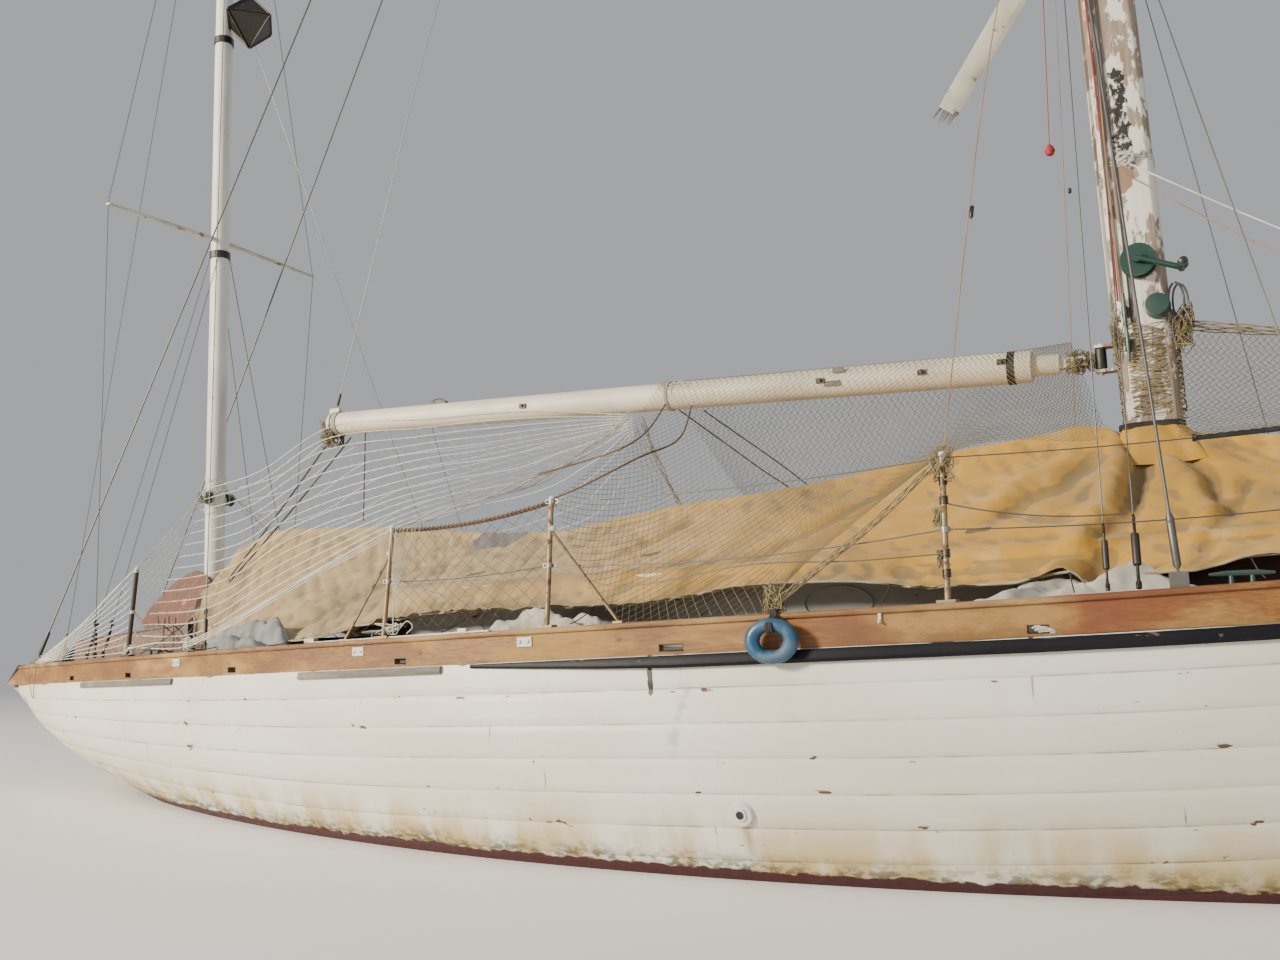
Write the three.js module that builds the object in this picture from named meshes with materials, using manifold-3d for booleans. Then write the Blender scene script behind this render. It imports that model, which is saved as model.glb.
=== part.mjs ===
// A wooden cruising yawl laid up afloat under a cover: two masts, long keel, counter stern.
// Millimetres. +X to the bow, +Y to port, +Z up. The origin is on the waterline, abreast the cockpit bulkhead.
import * as THREE from "three";
import { mergeVertices } from "three/addons/utils/BufferGeometryUtils.js";
import Module from "manifold-3d";

const wasm = await Module();
wasm.setup();

// Driving dimensions
const STERN = -7000,
  BOW = 6400,
  HALF_BEAM = 1679,
  STERN_HALF = 364,
  WIDEST_X = -650,
  BULWARK = 154,
  CAP_THICK = 28,
  CAP_WIDE = 92,
  CAP_OVER = 14,
  BULWARK_THICK = 44,
  DECK_THICK = 26,
  CAMBER = 62,
  SEAT = 0.3,
  MAIN_X = 1670,
  MAIN_RAKE = 1.1,
  MAIN_TOP = 15800,
  MAIN_FORE_AFT = 262,
  MAIN_ACROSS = 190,
  MIZZEN_X = -5150,
  MIZZEN_RAKE = 0.95,
  MIZZEN_TOP = 9900,
  MIZZEN_DIA = 150,
  BOOM_AFT_X = -3930,
  BOOM_AFT_Z = 2705,
  BOOM_FORE_Z = 2450,
  BOOM_DIA = 178,
  RUDDER_HEEL = [-3330, -1890],
  RUDDER_HEAD = [-4860, 950],
  CABIN_AFT = -2350,
  CABIN_FORE = 2600,
  CABIN_HIGH = 400,
  CABIN_THICK = 34,
  COVER_THICK = 14,
  CABIN_WELL_LOW = -250,
  HATCH_WELL_LOW = 300,
  WELL_ABOVE = 200,
  SCUPPER_LOW = 14,
  SCUPPER_HIGH = 44,
  SCUPPER_WIDE = 80,
  WIDE_SCUPPER = [-330, 120];

// Finishes: colour, roughness, metalness
const FINISH = {
  white_paint: [0xdcd9cc, 0.55, 0.0],
  antifouling: [0x6a2a22, 0.8, 0.0],
  varnish: [0xb07a45, 0.45, 0.0],
  dark_strake: [0x17181b, 0.6, 0.0],
  grey_strake: [0x77746a, 0.85, 0.0],
  navy_paint: [0x1c2740, 0.5, 0.0],
  teak: [0x8f8069, 0.85, 0.0],
  mahogany: [0x5a2418, 0.45, 0.0],
  cream_paint: [0xd9cfb4, 0.6, 0.0],
  pink_wood: [0xa58a7a, 0.8, 0.0],
  canvas: [0xd8b765, 0.9, 0.0],
  iron: [0x4a3128, 0.85, 0.2],
  bronze: [0x8a6a3a, 0.45, 0.8],
  steel: [0x9c9c98, 0.4, 0.9],
  galvanised: [0x6e706c, 0.6, 0.7],
  green_metal: [0x24463a, 0.5, 0.3],
  dark_metal: [0x2b2a28, 0.6, 0.5],
  blue_plastic: [0x1c74b0, 0.4, 0.0],
};

const root = new THREE.Group();
root.name = "yawl";

function node(name, shape, finish) {
  const [color, roughness, metalness] = FINISH[finish];
  const material = new THREE.MeshStandardMaterial({ color, roughness, metalness });
  material.name = finish;
  const mesh = new THREE.Mesh(shape.isBufferGeometry ? shape : geometryOf(shape), material);
  mesh.name = name;
  root.add(mesh);
}

// Geometry to solid and back

function solid(geometry) {
  const plain = new THREE.BufferGeometry();
  const source = geometry.index ? geometry.toNonIndexed() : geometry;
  plain.setAttribute("position", source.getAttribute("position").clone());
  const merged = mergeVertices(plain, 1e-3);
  const made = new wasm.Manifold(
    new wasm.Mesh({
      numProp: 3,
      vertProperties: merged.attributes.position.array,
      triVerts: new Uint32Array(merged.index.array),
    }),
  );
  return made;
}

function geometryOf(manifold) {
  const m = manifold.getMesh();
  const array = new Float32Array(m.numVert * 3);
  for (let i = 0; i < m.numVert; i++)
    array.set(m.vertProperties.subarray(i * m.numProp, i * m.numProp + 3), i * 3);
  const g = new THREE.BufferGeometry();
  g.setAttribute("position", new THREE.BufferAttribute(array, 3));
  g.setIndex(new THREE.BufferAttribute(m.triVerts, 1));
  g.computeVertexNormals();
  return g;
}

function join(...shapes) {
  return shapes.map((s) => (s.isBufferGeometry ? solid(s) : s)).reduce((a, b) => a.add(b));
}

function cut(shape, ...tools) {
  const start = shape.isBufferGeometry ? solid(shape) : shape;
  return tools.map((s) => (s.isBufferGeometry ? solid(s) : s)).reduce((a, b) => a.subtract(b), start);
}

// A closed body through rings of equal length, each ring a closed loop of [x, y, z].
function loft(rings) {
  const n = rings[0].length,
    pos = [],
    index = [];
  rings.forEach((ring) => ring.forEach((p) => pos.push(...p)));
  for (let r = 0; r + 1 < rings.length; r++)
    for (let i = 0; i < n; i++) {
      const a = r * n + i,
        b = r * n + ((i + 1) % n),
        c = a + n,
        d = b + n;
      index.push(a, b, d, a, d, c);
    }
  const cap = (ring, offset, flip) => {
    const normal = new THREE.Vector3();
    ring.forEach((p, i) => {
      const q = ring[(i + 1) % n];
      normal.x += (p[1] - q[1]) * (p[2] + q[2]);
      normal.y += (p[2] - q[2]) * (p[0] + q[0]);
      normal.z += (p[0] - q[0]) * (p[1] + q[1]);
    });
    const size = [Math.abs(normal.x), Math.abs(normal.y), Math.abs(normal.z)];
    const drop = size.indexOf(Math.max(...size));
    const keep = [0, 1, 2].filter((k) => k !== drop);
    const flat = ring.map((p) => new THREE.Vector2(p[keep[0]], p[keep[1]]));
    // The triangles come out in the loop's own turn or against it, so each is compared with the loop.
    const area = THREE.ShapeUtils.area(flat);
    THREE.ShapeUtils.triangulateShape(flat, []).forEach(([a, b, c]) => {
      const turn = THREE.ShapeUtils.area([flat[a], flat[b], flat[c]]) * area > 0;
      const tri = turn ? [a, b, c] : [a, c, b];
      if (flip) tri.reverse();
      index.push(...tri.map((k) => k + offset));
    });
  };
  cap(rings[0], 0, true);
  cap(rings.at(-1), (rings.length - 1) * n, false);
  const g = new THREE.BufferGeometry();
  g.setAttribute("position", new THREE.BufferAttribute(new Float32Array(pos), 3));
  g.setIndex(index);
  return volumeOf(g) < 0 ? turned(g) : g;
}

function volumeOf(g) {
  const p = g.getAttribute("position"),
    ix = g.index.array,
    a = new THREE.Vector3(),
    b = new THREE.Vector3(),
    c = new THREE.Vector3();
  let v = 0;
  for (let i = 0; i < ix.length; i += 3) {
    a.fromBufferAttribute(p, ix[i]);
    b.fromBufferAttribute(p, ix[i + 1]);
    c.fromBufferAttribute(p, ix[i + 2]);
    v += a.dot(b.cross(c));
  }
  return v / 6;
}

function turned(g) {
  const ix = g.index.array;
  for (let i = 0; i < ix.length; i += 3) [ix[i + 1], ix[i + 2]] = [ix[i + 2], ix[i + 1]];
  return g;
}

// A strip along X: section(x) gives a closed loop of [y, z] or [x, y, z] points.
function strip(xs, section) {
  return loft(xs.map((x) => section(x).map((p) => (p.length === 3 ? p : [x, ...p]))));
}

function steps(from, to, count) {
  return Array.from({ length: count + 1 }, (_, i) => from + ((to - from) * i) / count);
}

function box(x0, x1, y0, y1, z0, z1) {
  return new THREE.BoxGeometry(x1 - x0, y1 - y0, z1 - z0).translate(
    (x0 + x1) / 2,
    (y0 + y1) / 2,
    (z0 + z1) / 2,
  );
}

// A round bar from p to q, tapering from r to r2.
function rod(p, q, r, sides = 12, r2 = r) {
  const a = new THREE.Vector3(...p),
    b = new THREE.Vector3(...q),
    g = new THREE.CylinderGeometry(r2, r, a.distanceTo(b), sides);
  g.applyQuaternion(
    new THREE.Quaternion().setFromUnitVectors(new THREE.Vector3(0, 1, 0), b.clone().sub(a).normalize()),
  );
  return g.translate((a.x + b.x) / 2, (a.y + b.y) / 2, (a.z + b.z) / 2);
}

// A round pipe through points, as bars with a ball at each bend.
function pipe(points, r, sides = 10) {
  const parts = [];
  for (let i = 0; i + 1 < points.length; i++) {
    parts.push(rod(points[i], points[i + 1], r, sides));
    if (i) parts.push(new THREE.SphereGeometry(r, sides, 6).translate(...points[i]));
  }
  return join(...parts);
}

// A plate from an outline in X and Z, centred on y.
function sidePlate(outline, y, thick) {
  const shape = new THREE.Shape(outline.map(([x, z]) => new THREE.Vector2(x, z)));
  const g = new THREE.ExtrudeGeometry(shape, { depth: thick, bevelEnabled: false });
  return g.rotateX(Math.PI / 2).translate(0, y + thick / 2, 0);
}

function mirrored(points) {
  return points.map(([x, y, z]) => [x, -y, z]);
}

// Smooth value from a table of rows [x, value, ...] at one column.
function table(rows, column) {
  return (x) => {
    const last = rows.length - 1;
    if (x <= rows[0][0]) return rows[0][column];
    if (x >= rows[last][0]) return rows[last][column];
    let i = rows.findIndex((r) => r[0] >= x) - 1;
    if (i < 0) i = 0;
    const [x0, x1] = [rows[i][0], rows[i + 1][0]],
      [v0, v1] = [rows[i][column], rows[i + 1][column]],
      slope = (k) => {
        if (k <= 0 || k >= last) return (rows[Math.min(k + 1, last)][column] - rows[Math.max(k - 1, 0)][column]) /
          (rows[Math.min(k + 1, last)][0] - rows[Math.max(k - 1, 0)][0]);
        return (rows[k + 1][column] - rows[k - 1][column]) / (rows[k + 1][0] - rows[k - 1][0]);
      },
      h = x1 - x0,
      t = (x - x0) / h,
      m0 = slope(i) * h,
      m1 = slope(i + 1) * h;
    return (
      (2 * t ** 3 - 3 * t ** 2 + 1) * v0 +
      (t ** 3 - 2 * t ** 2 + t) * m0 +
      (-2 * t ** 3 + 3 * t ** 2) * v1 +
      (t ** 3 - t ** 2) * m1
    );
  };
}

// Lines of the hull

// Height of the cap rail's upper edge.
function capZ(x) {
  const fore = Math.max(0, (x - 1000) / 5400);
  return 956 + 0.0269 * (x + 7000) + 290 * fore ** 2;
}

// Half-breadth over the cap rail.
function capHalf(x) {
  if (x < WIDEST_X) {
    const t = (WIDEST_X - x) / (WIDEST_X - STERN);
    return HALF_BEAM - (HALF_BEAM - STERN_HALF) * t ** 1.945;
  }
  const t = Math.min(1, (x - WIDEST_X) / (BOW + 60 - WIDEST_X));
  return Math.max(46, HALF_BEAM * (1 - t ** 2.25));
}

const deckZ = (x) => capZ(x) - BULWARK;
const sideHalf = (x) => capHalf(x) - CAP_OVER;

// Underbody: bottom of the section, side control, bilge control, half-thickness at the bottom.
//   x, bottom z, side, bilge, flat
const LINES = [
  [-7230, 742, 0.99, 0.75, 40],
  [-7000, 600, 1.0, 0.74, 40],
  [-6700, 408, 1.0, 0.74, 42],
  [-6300, 226, 1.01, 0.72, 46],
  [-5800, 66, 1.03, 0.7, 52],
  [-5200, -96, 1.05, 0.66, 60],
  [-4500, -268, 1.07, 0.62, 75],
  [-3600, -476, 1.09, 0.6, 90],
  [-2600, -676, 1.11, 0.6, 105],
  [-1500, -830, 1.13, 0.6, 118],
  [-300, -902, 1.12, 0.58, 120],
  [900, -886, 1.05, 0.54, 115],
  [2000, -786, 0.95, 0.47, 100],
  [3000, -626, 0.84, 0.4, 85],
  [3900, -400, 0.75, 0.34, 70],
  [4700, -30, 0.68, 0.3, 58],
  [5300, 356, 0.64, 0.3, 50],
  [5800, 740, 0.62, 0.32, 44],
  [6200, 1090, 0.66, 0.4, 40],
  [6400, 1290, 0.7, 0.5, 38],
];
const bottomZ = table(LINES, 1),
  sideControl = table(LINES, 2),
  bilgeControl = table(LINES, 3),
  bottomFlat = table(LINES, 4);

// Half section of the hull at x, from the deck edge down: [y, z] at t from 0 to 1.
function sectionAt(x, t) {
  const top = deckZ(x) - DECK_THICK,
    b = sideHalf(x),
    deep = bottomZ(x) - top,
    u = 1 - t,
    k = [u ** 3, 3 * u * u * t, 3 * u * t * t, t ** 3],
    y = [b, b * sideControl(x), b * bilgeControl(x), Math.min(bottomFlat(x), b * 0.8)],
    z = [top, top + deep * 0.6, top + deep * 0.93, top + deep];
  return [
    k.reduce((s, w, i) => s + w * y[i], 0),
    k.reduce((s, w, i) => s + w * z[i], 0),
  ];
}

// Half-breadth of the planking at x and height z.
function planking(x, z) {
  let low = 0,
    high = 1;
  for (let i = 0; i < 30; i++) {
    const mid = (low + high) / 2;
    if (sectionAt(x, mid)[1] > z) low = mid;
    else high = mid;
  }
  return sectionAt(x, (low + high) / 2)[0];
}

function camberAt(x, y) {
  const b = sideHalf(x);
  return CAMBER * (b / HALF_BEAM) * (1 - (y / b) ** 2);
}

const deckTop = (x, y) => deckZ(x) + camberAt(x, y);

const SECTION_STEPS = [0, 0.1, 0.2, 0.3, 0.4, 0.5, 0.6, 0.7, 0.8, 0.88, 0.95, 1];
const ACROSS = [-1, -0.75, -0.5, -0.25, 0, 0.25, 0.5, 0.75, 1];

// Axes of the masts

const rakeOf = (deg) => Math.tan((deg * Math.PI) / 180);
const mainAt = (z) => MAIN_X - (z - 1000) * rakeOf(MAIN_RAKE);
const mizzenAt = (z) => MIZZEN_X - (z - 1000) * rakeOf(MIZZEN_RAKE);

// Value on the straight lines between rows [z, value, ...] at one column.
function between(rows, z, column) {
  const i = Math.max(1, rows.findIndex((r, k) => k > 0 && r[0] >= z)),
    [low, high] = [rows[i - 1], rows[i]],
    t = (z - low[0]) / (high[0] - low[0]);
  return low[column] + t * (high[column] - low[column]);
}

// Hull

const hullXs = [...LINES.map((r) => r[0]), -7180, 6380].sort((a, b) => a - b);
const hullBody = solid(
  strip(hullXs, (x) => {
    const side = SECTION_STEPS.map((t) => sectionAt(x, t));
    const b = sideHalf(x);
    const top = ACROSS.slice(1, -1).map((k) => [k * b, deckTop(x, k * b) - DECK_THICK]);
    return [...side, ...side.map(([y, z]) => [-y, z]).reverse(), ...top];
  }),
);

// Fin: levels of the deadwood and ballast, z, leading edge x, half thickness; the stock lies in its trailing edge
const stockAxis = new THREE.Vector3(
  RUDDER_HEAD[0] - RUDDER_HEEL[0],
  0,
  RUDDER_HEAD[1] - RUDDER_HEEL[1],
).normalize();
const stockAt = (z) => RUDDER_HEEL[0] + ((z - RUDDER_HEEL[1]) * stockAxis.x) / stockAxis.z;
const FIN = [
  [-380, 3900, 118],
  [-700, 3150, 122],
  [-1050, 2250, 126],
  [-1340, 1500, 132],
  [-1650, 700, 142],
  [-1900, -50, 150],
  [-1985, -420, 140],
].map(([z, fore, half]) => [z, fore, stockAt(z) + 20, half]);
const finFore = table(FIN.map((r) => [-r[0], r[1]]), 1),
  finAft = table(FIN.map((r) => [-r[0], r[2]]), 1),
  finHalf = table(FIN.map((r) => [-r[0], r[3]]), 1);
//   place along the chord from the leading edge, part of the half thickness
const FOIL = [
  [0, 0.05],
  [0.02, 0.32],
  [0.08, 0.66],
  [0.2, 0.94],
  [0.4, 1],
  [0.65, 0.84],
  [0.85, 0.52],
  [1, 0.3],
];
function foilRing(z) {
  const fore = finFore(-z),
    aft = finAft(-z),
    half = finHalf(-z),
    one = FOIL.map(([c, h]) => [fore + (aft - fore) * c, h * half, z]);
  return [...one, ...mirrored(one).reverse()];
}
const deadwood = loft([-380, -700, -1050, -1340].map(foilRing));
const ballast = loft([-1340 - SEAT, -1500, -1650, -1800, -1900, -1985].map(foilRing));

const SHAFT_Z = -960,
  SHAFT_R = 18,
  APERTURE = [-3560, -4300, -1215, -700];

const cabinHalf = table(
  [
    [-2700, 1010],
    [-1200, 1060],
    [300, 1040],
    [1500, 940],
    [2700, 700],
  ],
  1,
);
// The well under the cabin follows the cabin sides.
function well(xs, half, low) {
  return strip(xs, (x) => {
    const y = half(x),
      high = deckTop(x, 0) + WELL_ABOVE;
    return [
      [-y, low],
      [y, low],
      [y, high],
      [-y, high],
    ];
  });
}
const cabinWell = well(steps(CABIN_AFT + 60, CABIN_FORE - 60, 8), (x) => cabinHalf(x) - 70, CABIN_WELL_LOW);
const COCKPIT = [-4560, -2520, 560, 380];
const cockpitWell = well([COCKPIT[0], COCKPIT[1]], () => COCKPIT[2], COCKPIT[3]);
const HATCH = [3120, 3720, 290];
const hatchWell = well([HATCH[0], HATCH[1]], () => HATCH[2], HATCH_WELL_LOW);
const stockBore = rod([stockAt(-2200), 0, -2200], [stockAt(1300), 0, 1300], 34, 20);
const apertureCut = box(APERTURE[1], APERTURE[0], -260, 260, APERTURE[2], APERTURE[3]);
const shaftBore = rod([-2700, 0, SHAFT_Z], [-4000, 0, SHAFT_Z], SHAFT_R + 0.6, 24);

node(
  "hull",
  cut(hullBody.add(solid(deadwood)), cabinWell, cockpitWell, hatchWell, stockBore, apertureCut, shaftBore),
  "white_paint",
);
// Heel casting under the rudder stock, its face square to the stock
const STOCK_FOOT = -1885;
const alongStock = (z, far) => [stockAt(z) + stockAxis.x * far, 0, z + stockAxis.z * far];
const heel = cut(
  rod(alongStock(STOCK_FOOT, -160), alongStock(STOCK_FOOT, -0.35), 46, 24),
  box(-4400, -2400, -200, 200, -2400, -1985),
);
node("ballast_keel", cut(ballast, stockBore).add(heel), "iron");

// Deck

const deckOf = (thick) =>
  strip(hullXs, (x) => {
    const b = sideHalf(x);
    const upper = ACROSS.map((k) => [k * b, deckTop(x, k * b)]);
    const lower = ACROSS.map((k) => [k * b, deckTop(x, k * b) - thick]).reverse();
    return [...upper, ...lower];
  });
const deckShell = deckOf(DECK_THICK - SEAT);
node("deck", cut(deckShell, cabinWell, cockpitWell, hatchWell, stockBore), "teak");

// What stands on the deck is cut to it, and what is fastened to the side is cut to the planking.
const underDeck = solid(
  strip([STERN - 600, ...hullXs, BOW + 200], (at) => {
    const x = Math.min(BOW, Math.max(hullXs[0], at));
    const b = sideHalf(x),
      edge = deckTop(x, b) + SEAT;
    return [
      [at, b + 90, edge],
      ...ACROSS.map((k) => [at, -k * b, deckTop(x, k * b) + SEAT]),
      [at, -b - 90, edge],
      [at, -b - 90, edge - 420],
      [at, b + 90, edge - 420],
    ];
  }),
);
const outerSkin = hullBody.add(solid(deckOf(DECK_THICK + 8)));
const onDeck = (shape) => cut(shape, underDeck);
const onSide = (shape, side) => cut(shape, outerSkin.translate([0, side * 0.4, 0]));

// Bulwarks, cap rails, rubbing strakes

const SCUPPERS = [-5650, -4660, -3370, -1930, -330, 1230, 2800, 4300];
const RAKE = 1.16;
const railXs = [-7000, -6850, -6600, ...steps(-6300, 6000, 30), 6200, 6330];
function railStrip(side, xs, section) {
  return strip(xs, (x) => section(x).map(([y, z]) => {
    const aft = Math.max(0, (x - -6600) / (STERN - -6600));
    return [x - aft * RAKE * (capZ(x) - z), side * y, z];
  }));
}
for (const [side, word] of [
  [-1, "starboard"],
  [1, "port"],
]) {
  const bulwark = railStrip(side, railXs, (x) => {
    const b = sideHalf(x),
      low = deckZ(x) - 12,
      high = capZ(x) - CAP_THICK - SEAT;
    return [
      [b, low],
      [b, high],
      [b - BULWARK_THICK, high],
      [b - BULWARK_THICK, low],
    ];
  });
  const slots = SCUPPERS.map((x) => {
    const wide = x === WIDE_SCUPPER[0] ? WIDE_SCUPPER[1] : SCUPPER_WIDE,
      y = side * sideHalf(x);
    return box(x - wide / 2, x + wide / 2, y - 130, y + 130, deckZ(x) + SCUPPER_LOW, deckZ(x) + SCUPPER_HIGH);
  });
  node("bulwark_" + word, onDeck(cut(bulwark, ...slots)), "varnish");
  const capRail = solid(
    railStrip(side, railXs, (x) => {
      const b = capHalf(x),
        high = capZ(x),
        low = high - CAP_THICK;
      const inner = Math.max(b - CAP_WIDE, 4);
      return [
        [b, low + 6],
        [b, high - 6],
        [b - 7, high],
        [inner + 5, high],
        [inner, high - 5],
        [inner, low],
        [b - 6, low],
      ];
    }),
  );
  node("cap_rail_" + word, capRail, "varnish");
}

// Rubbing strake lengths: name, side, from x, to x, height, proud, finish
const STRAKES = [
  ["rubbing_strake_starboard", -1, -1450, 6150, 56, 30, "dark_strake"],
  ["rubbing_strake_starboard_middle", -1, -2720, -1640, 40, 18, "grey_strake"],
  ["rubbing_strake_starboard_aft", -1, -5430, -4040, 40, 18, "grey_strake"],
  ["rubbing_strake_port", 1, -6700, 6150, 56, 30, "dark_strake"],
];
for (const [name, side, from, to, high, proud, finish] of STRAKES) {
  const taper = (x) => (name === "rubbing_strake_starboard" ? Math.min(1, 0.35 + (0.65 * (x - from)) / 1000) : 1);
  const count = Math.max(4, Math.round((to - from) / 380));
  const batten = strip(steps(from, to, count), (x) => {
    const top = deckZ(x) - 4,
      low = top - high * taper(x),
      at = (z) => (z > deckZ(x) - DECK_THICK ? sideHalf(x) : planking(x, z)),
      out = proud * taper(x),
      inner = Math.min(at(top), at(low)) - 16;
    return [
      [side * inner, top],
      [side * (at(top) + out * 0.7), top],
      [side * (at(top) + out), top - 0.25 * (top - low)],
      [side * (at(low) + out), low + 0.25 * (top - low)],
      [side * (at(low) + out * 0.7), low],
      [side * inner, low],
    ];
  });
  node(name, onSide(batten, side), finish);
}

// Transom board, leaning aft at its foot
const transomBack = (z) => STERN - RAKE * (capZ(STERN) - z) - SEAT - 1;
const transomRing = (z, shift) =>
  [-1, 1].map((k) => [transomBack(z) - shift, k * (STERN_HALF + 4), z]);
{
  const low = 780,
    high = capZ(STERN) + 4;
  const profile = (shift) => [
    [transomBack(low) - shift, -(STERN_HALF - 30), low],
    [transomBack(low) - shift, STERN_HALF - 30, low],
    ...transomRing(high, shift).reverse(),
  ];
  node("transom_board", onDeck(loft([profile(0), profile(26)])), "navy_paint");
}

// Cabin

const cabinTop = (x) => deckZ(x) + CABIN_HIGH - 0.012 * (x - CABIN_AFT);
const roofCamber = (x, y) => 95 * (1 - (y / cabinHalf(x)) ** 2);
const PORTS = [-1650, -700, 250, 1200];
function cabinSide(side) {
  const wall = strip(steps(CABIN_AFT, CABIN_FORE, 10), (x) => {
    const y = cabinHalf(x);
    return [
      [side * y, deckTop(x, y) - 10],
      [side * (y - 20), cabinTop(x) - SEAT],
      [side * (y - 20 - CABIN_THICK), cabinTop(x) - SEAT],
      [side * (y - CABIN_THICK), deckTop(x, y) - 10],
    ];
  });
  const lights = PORTS.map((x) => {
    const z = (deckTop(x, cabinHalf(x)) + cabinTop(x)) / 2,
      y = side * cabinHalf(x);
    return new THREE.CylinderGeometry(78, 78, 300, 20).scale(2.1, 1, 1).translate(x, y, z);
  });
  return onDeck(cut(wall, ...lights));
}
node("cabin_side_starboard", cabinSide(-1), "mahogany");
node("cabin_side_port", cabinSide(1), "mahogany");
function cabinEnd(x0, x1, opening) {
  const panel = strip([x0, x1], (x) => {
    const y = cabinHalf(x) - CABIN_THICK - 1.5;
    const foot = ACROSS.map((k) => [k * y, deckTop(x, k * y) - 10]);
    const head = ACROSS.map((k) => [k * (y - 20), cabinTop(x) - SEAT + (Math.abs(k) === 1 ? 0 : roofCamber(x, k * y))])
      .map(([yy, zz], i) => [yy, i === 0 || i === ACROSS.length - 1 ? zz : zz - 95 * 0.12])
      .reverse();
    return [...foot, ...head];
  });
  return onDeck(opening ? cut(panel, opening) : panel);
}
node("cabin_front", cabinEnd(CABIN_FORE - 34, CABIN_FORE), "mahogany");
node(
  "cabin_bulkhead",
  cabinEnd(CABIN_AFT, CABIN_AFT + 34, box(CABIN_AFT - 50, CABIN_AFT + 90, -300, 300, 1050, 1600)),
  "mahogany",
);
const MAIN_HOLE = box(mainAt(1400) - 165, mainAt(1400) + 165, -130, 130, 900, 1900);
const roofShell = strip(steps(CABIN_AFT - 30, CABIN_FORE + 30, 12), (x) => {
  const y = cabinHalf(x) + 14;
  const high = ACROSS.map((k) => [k * y, cabinTop(x) + 34 + roofCamber(x, k * (y - 14))]);
  const low = ACROSS.map((k) => [k * y, cabinTop(x) + 0.3 + roofCamber(x, k * (y - 14))]).reverse();
  return [...high, ...low];
});
const SLIDE = [-2400, -1560, 330];
const slideRail = (side) =>
  strip([SLIDE[0] - 20, SLIDE[1] + 820], (x) => {
    const z = cabinTop(x) + 34;
    return [
      [side * (SLIDE[2] + 8), z + 62],
      [side * (SLIDE[2] + 34), z + 62],
      [side * (SLIDE[2] + 34), z + 139.7],
      [side * (SLIDE[2] + 8), z + 139.7],
    ];
  });
node(
  "cabin_roof",
  cut(
    roofShell,
    MAIN_HOLE,
    box(SLIDE[0], SLIDE[1], -SLIDE[2] + 30, SLIDE[2] - 30, 1200, 1900),
  )
    .add(solid(slideRail(-1)))
    .add(solid(slideRail(1))),
  "cream_paint",
);
// Sliding hatch lid on its two slides
node(
  "companionway_hatch",
  strip([SLIDE[0] - 20, SLIDE[1] + 40], (x) => {
    const z = cabinTop(x) + 34 + 140,
      half = SLIDE[2] + 42;
    return [
      [-half, z],
      [half, z],
      [half - 20, z + 36],
      [-half + 20, z + 36],
    ];
  }),
  "mahogany",
);

// Fore hatch: coaming fixed, lid hinged on its fore edge
const hatchFoot = (x) => deckTop(x, 0);
{
  const z = hatchFoot(HATCH[1]) + 84,
    outer = box(HATCH[0] - 40, HATCH[1] + 40, -HATCH[2] - 40, HATCH[2] + 40, 1000, z),
    inner = box(HATCH[0], HATCH[1], -HATCH[2], HATCH[2], 900, z + 50);
  node("fore_hatch_coaming", onDeck(cut(outer, inner)), "mahogany");
  node(
    "fore_hatch_lid",
    box(HATCH[0] - 56, HATCH[1] + 56, -HATCH[2] - 56, HATCH[2] + 56, z + SEAT, z + 34),
    "mahogany",
  );
}

// Cockpit coaming
{
  const [x0, x1, half] = [COCKPIT[0] - 60, COCKPIT[1] + 60, COCKPIT[2] + 60];
  const z = deckTop(x1, 0) + 130;
  const outer = box(x0, x1, -half, half, 700, z),
    inner = box(x0 + 32, x1 - 32, -half + 32, half - 32, 600, z + 50);
  node("cockpit_coaming", onDeck(cut(outer, inner)), "mahogany");
}

// Low box on the counter, round the foot of the mizzen: aft end, fore end, half width, height aft, rise to the fore end
const LOCKER = [-6350, -5050, 330, 1150, 100];
const lockerTop = (x) => LOCKER[3] + (LOCKER[4] * (x - LOCKER[0])) / (LOCKER[1] - LOCKER[0]);
{
  const [x0, x1, half] = LOCKER;
  const shell = strip([x0, x1], (x) => [
    ...ACROSS.map((k) => [k * half, deckTop(x, k * half) - 10]),
    [half, lockerTop(x)],
    [-half, lockerTop(x)],
  ]);
  const mastWay = rod([mizzenAt(600), 0, 600], [mizzenAt(1600), 0, 1600], 92, 20);
  node("counter_box", onDeck(cut(shell, mastWay)), "pink_wood");
}

// Rudder, tiller, propeller

{
  const a = (z, off) => stockAt(z) - off;
  const blade = sidePlate(
    [
      [a(-1880, -8), -1880],
      [a(-1880, 300), -1860],
      [a(-1600, 520), -1600],
      [a(-1150, 600), -1150],
      [a(-600, 480), -600],
      [a(-360, 300), -360],
      [a(-400, -8), -400],
    ],
    0,
    56,
  );
  const stock = rod(alongStock(STOCK_FOOT, 0), alongStock(1000, 0), 27, 18);
  node("rudder", join(blade, stock), "antifouling");
  const head = new THREE.Vector3(...alongStock(1000, 20));
  const collar = rod(alongStock(1000, 0.35), alongStock(1000, 80), 44, 18);
  const arm = pipe(
    [
      [head.x, 0, head.z + 26],
      [head.x + 240, 0, head.z + 185],
      [head.x + 1040, 0, head.z + 235],
    ],
    24,
    10,
  );
  node("tiller", join(collar, arm), "varnish");
}
{
  const hub = rod([-3585, 0, SHAFT_Z], [-3715, 0, SHAFT_Z], 38, 18, 26);
  const shaft = rod([-2760, 0, SHAFT_Z], [-3600, 0, SHAFT_Z], SHAFT_R, 24);
  const blades = [0, 1].map((k) => {
    const g = new THREE.SphereGeometry(1, 14, 8).scale(8, 62, 96);
    g.rotateZ(0.62).translate(0, 0, 108);
    return g.rotateX(k * Math.PI).translate(-3650, 0, SHAFT_Z);
  });
  node("propeller", join(hub, shaft, ...blades), "bronze");
}

// Masts

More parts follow.
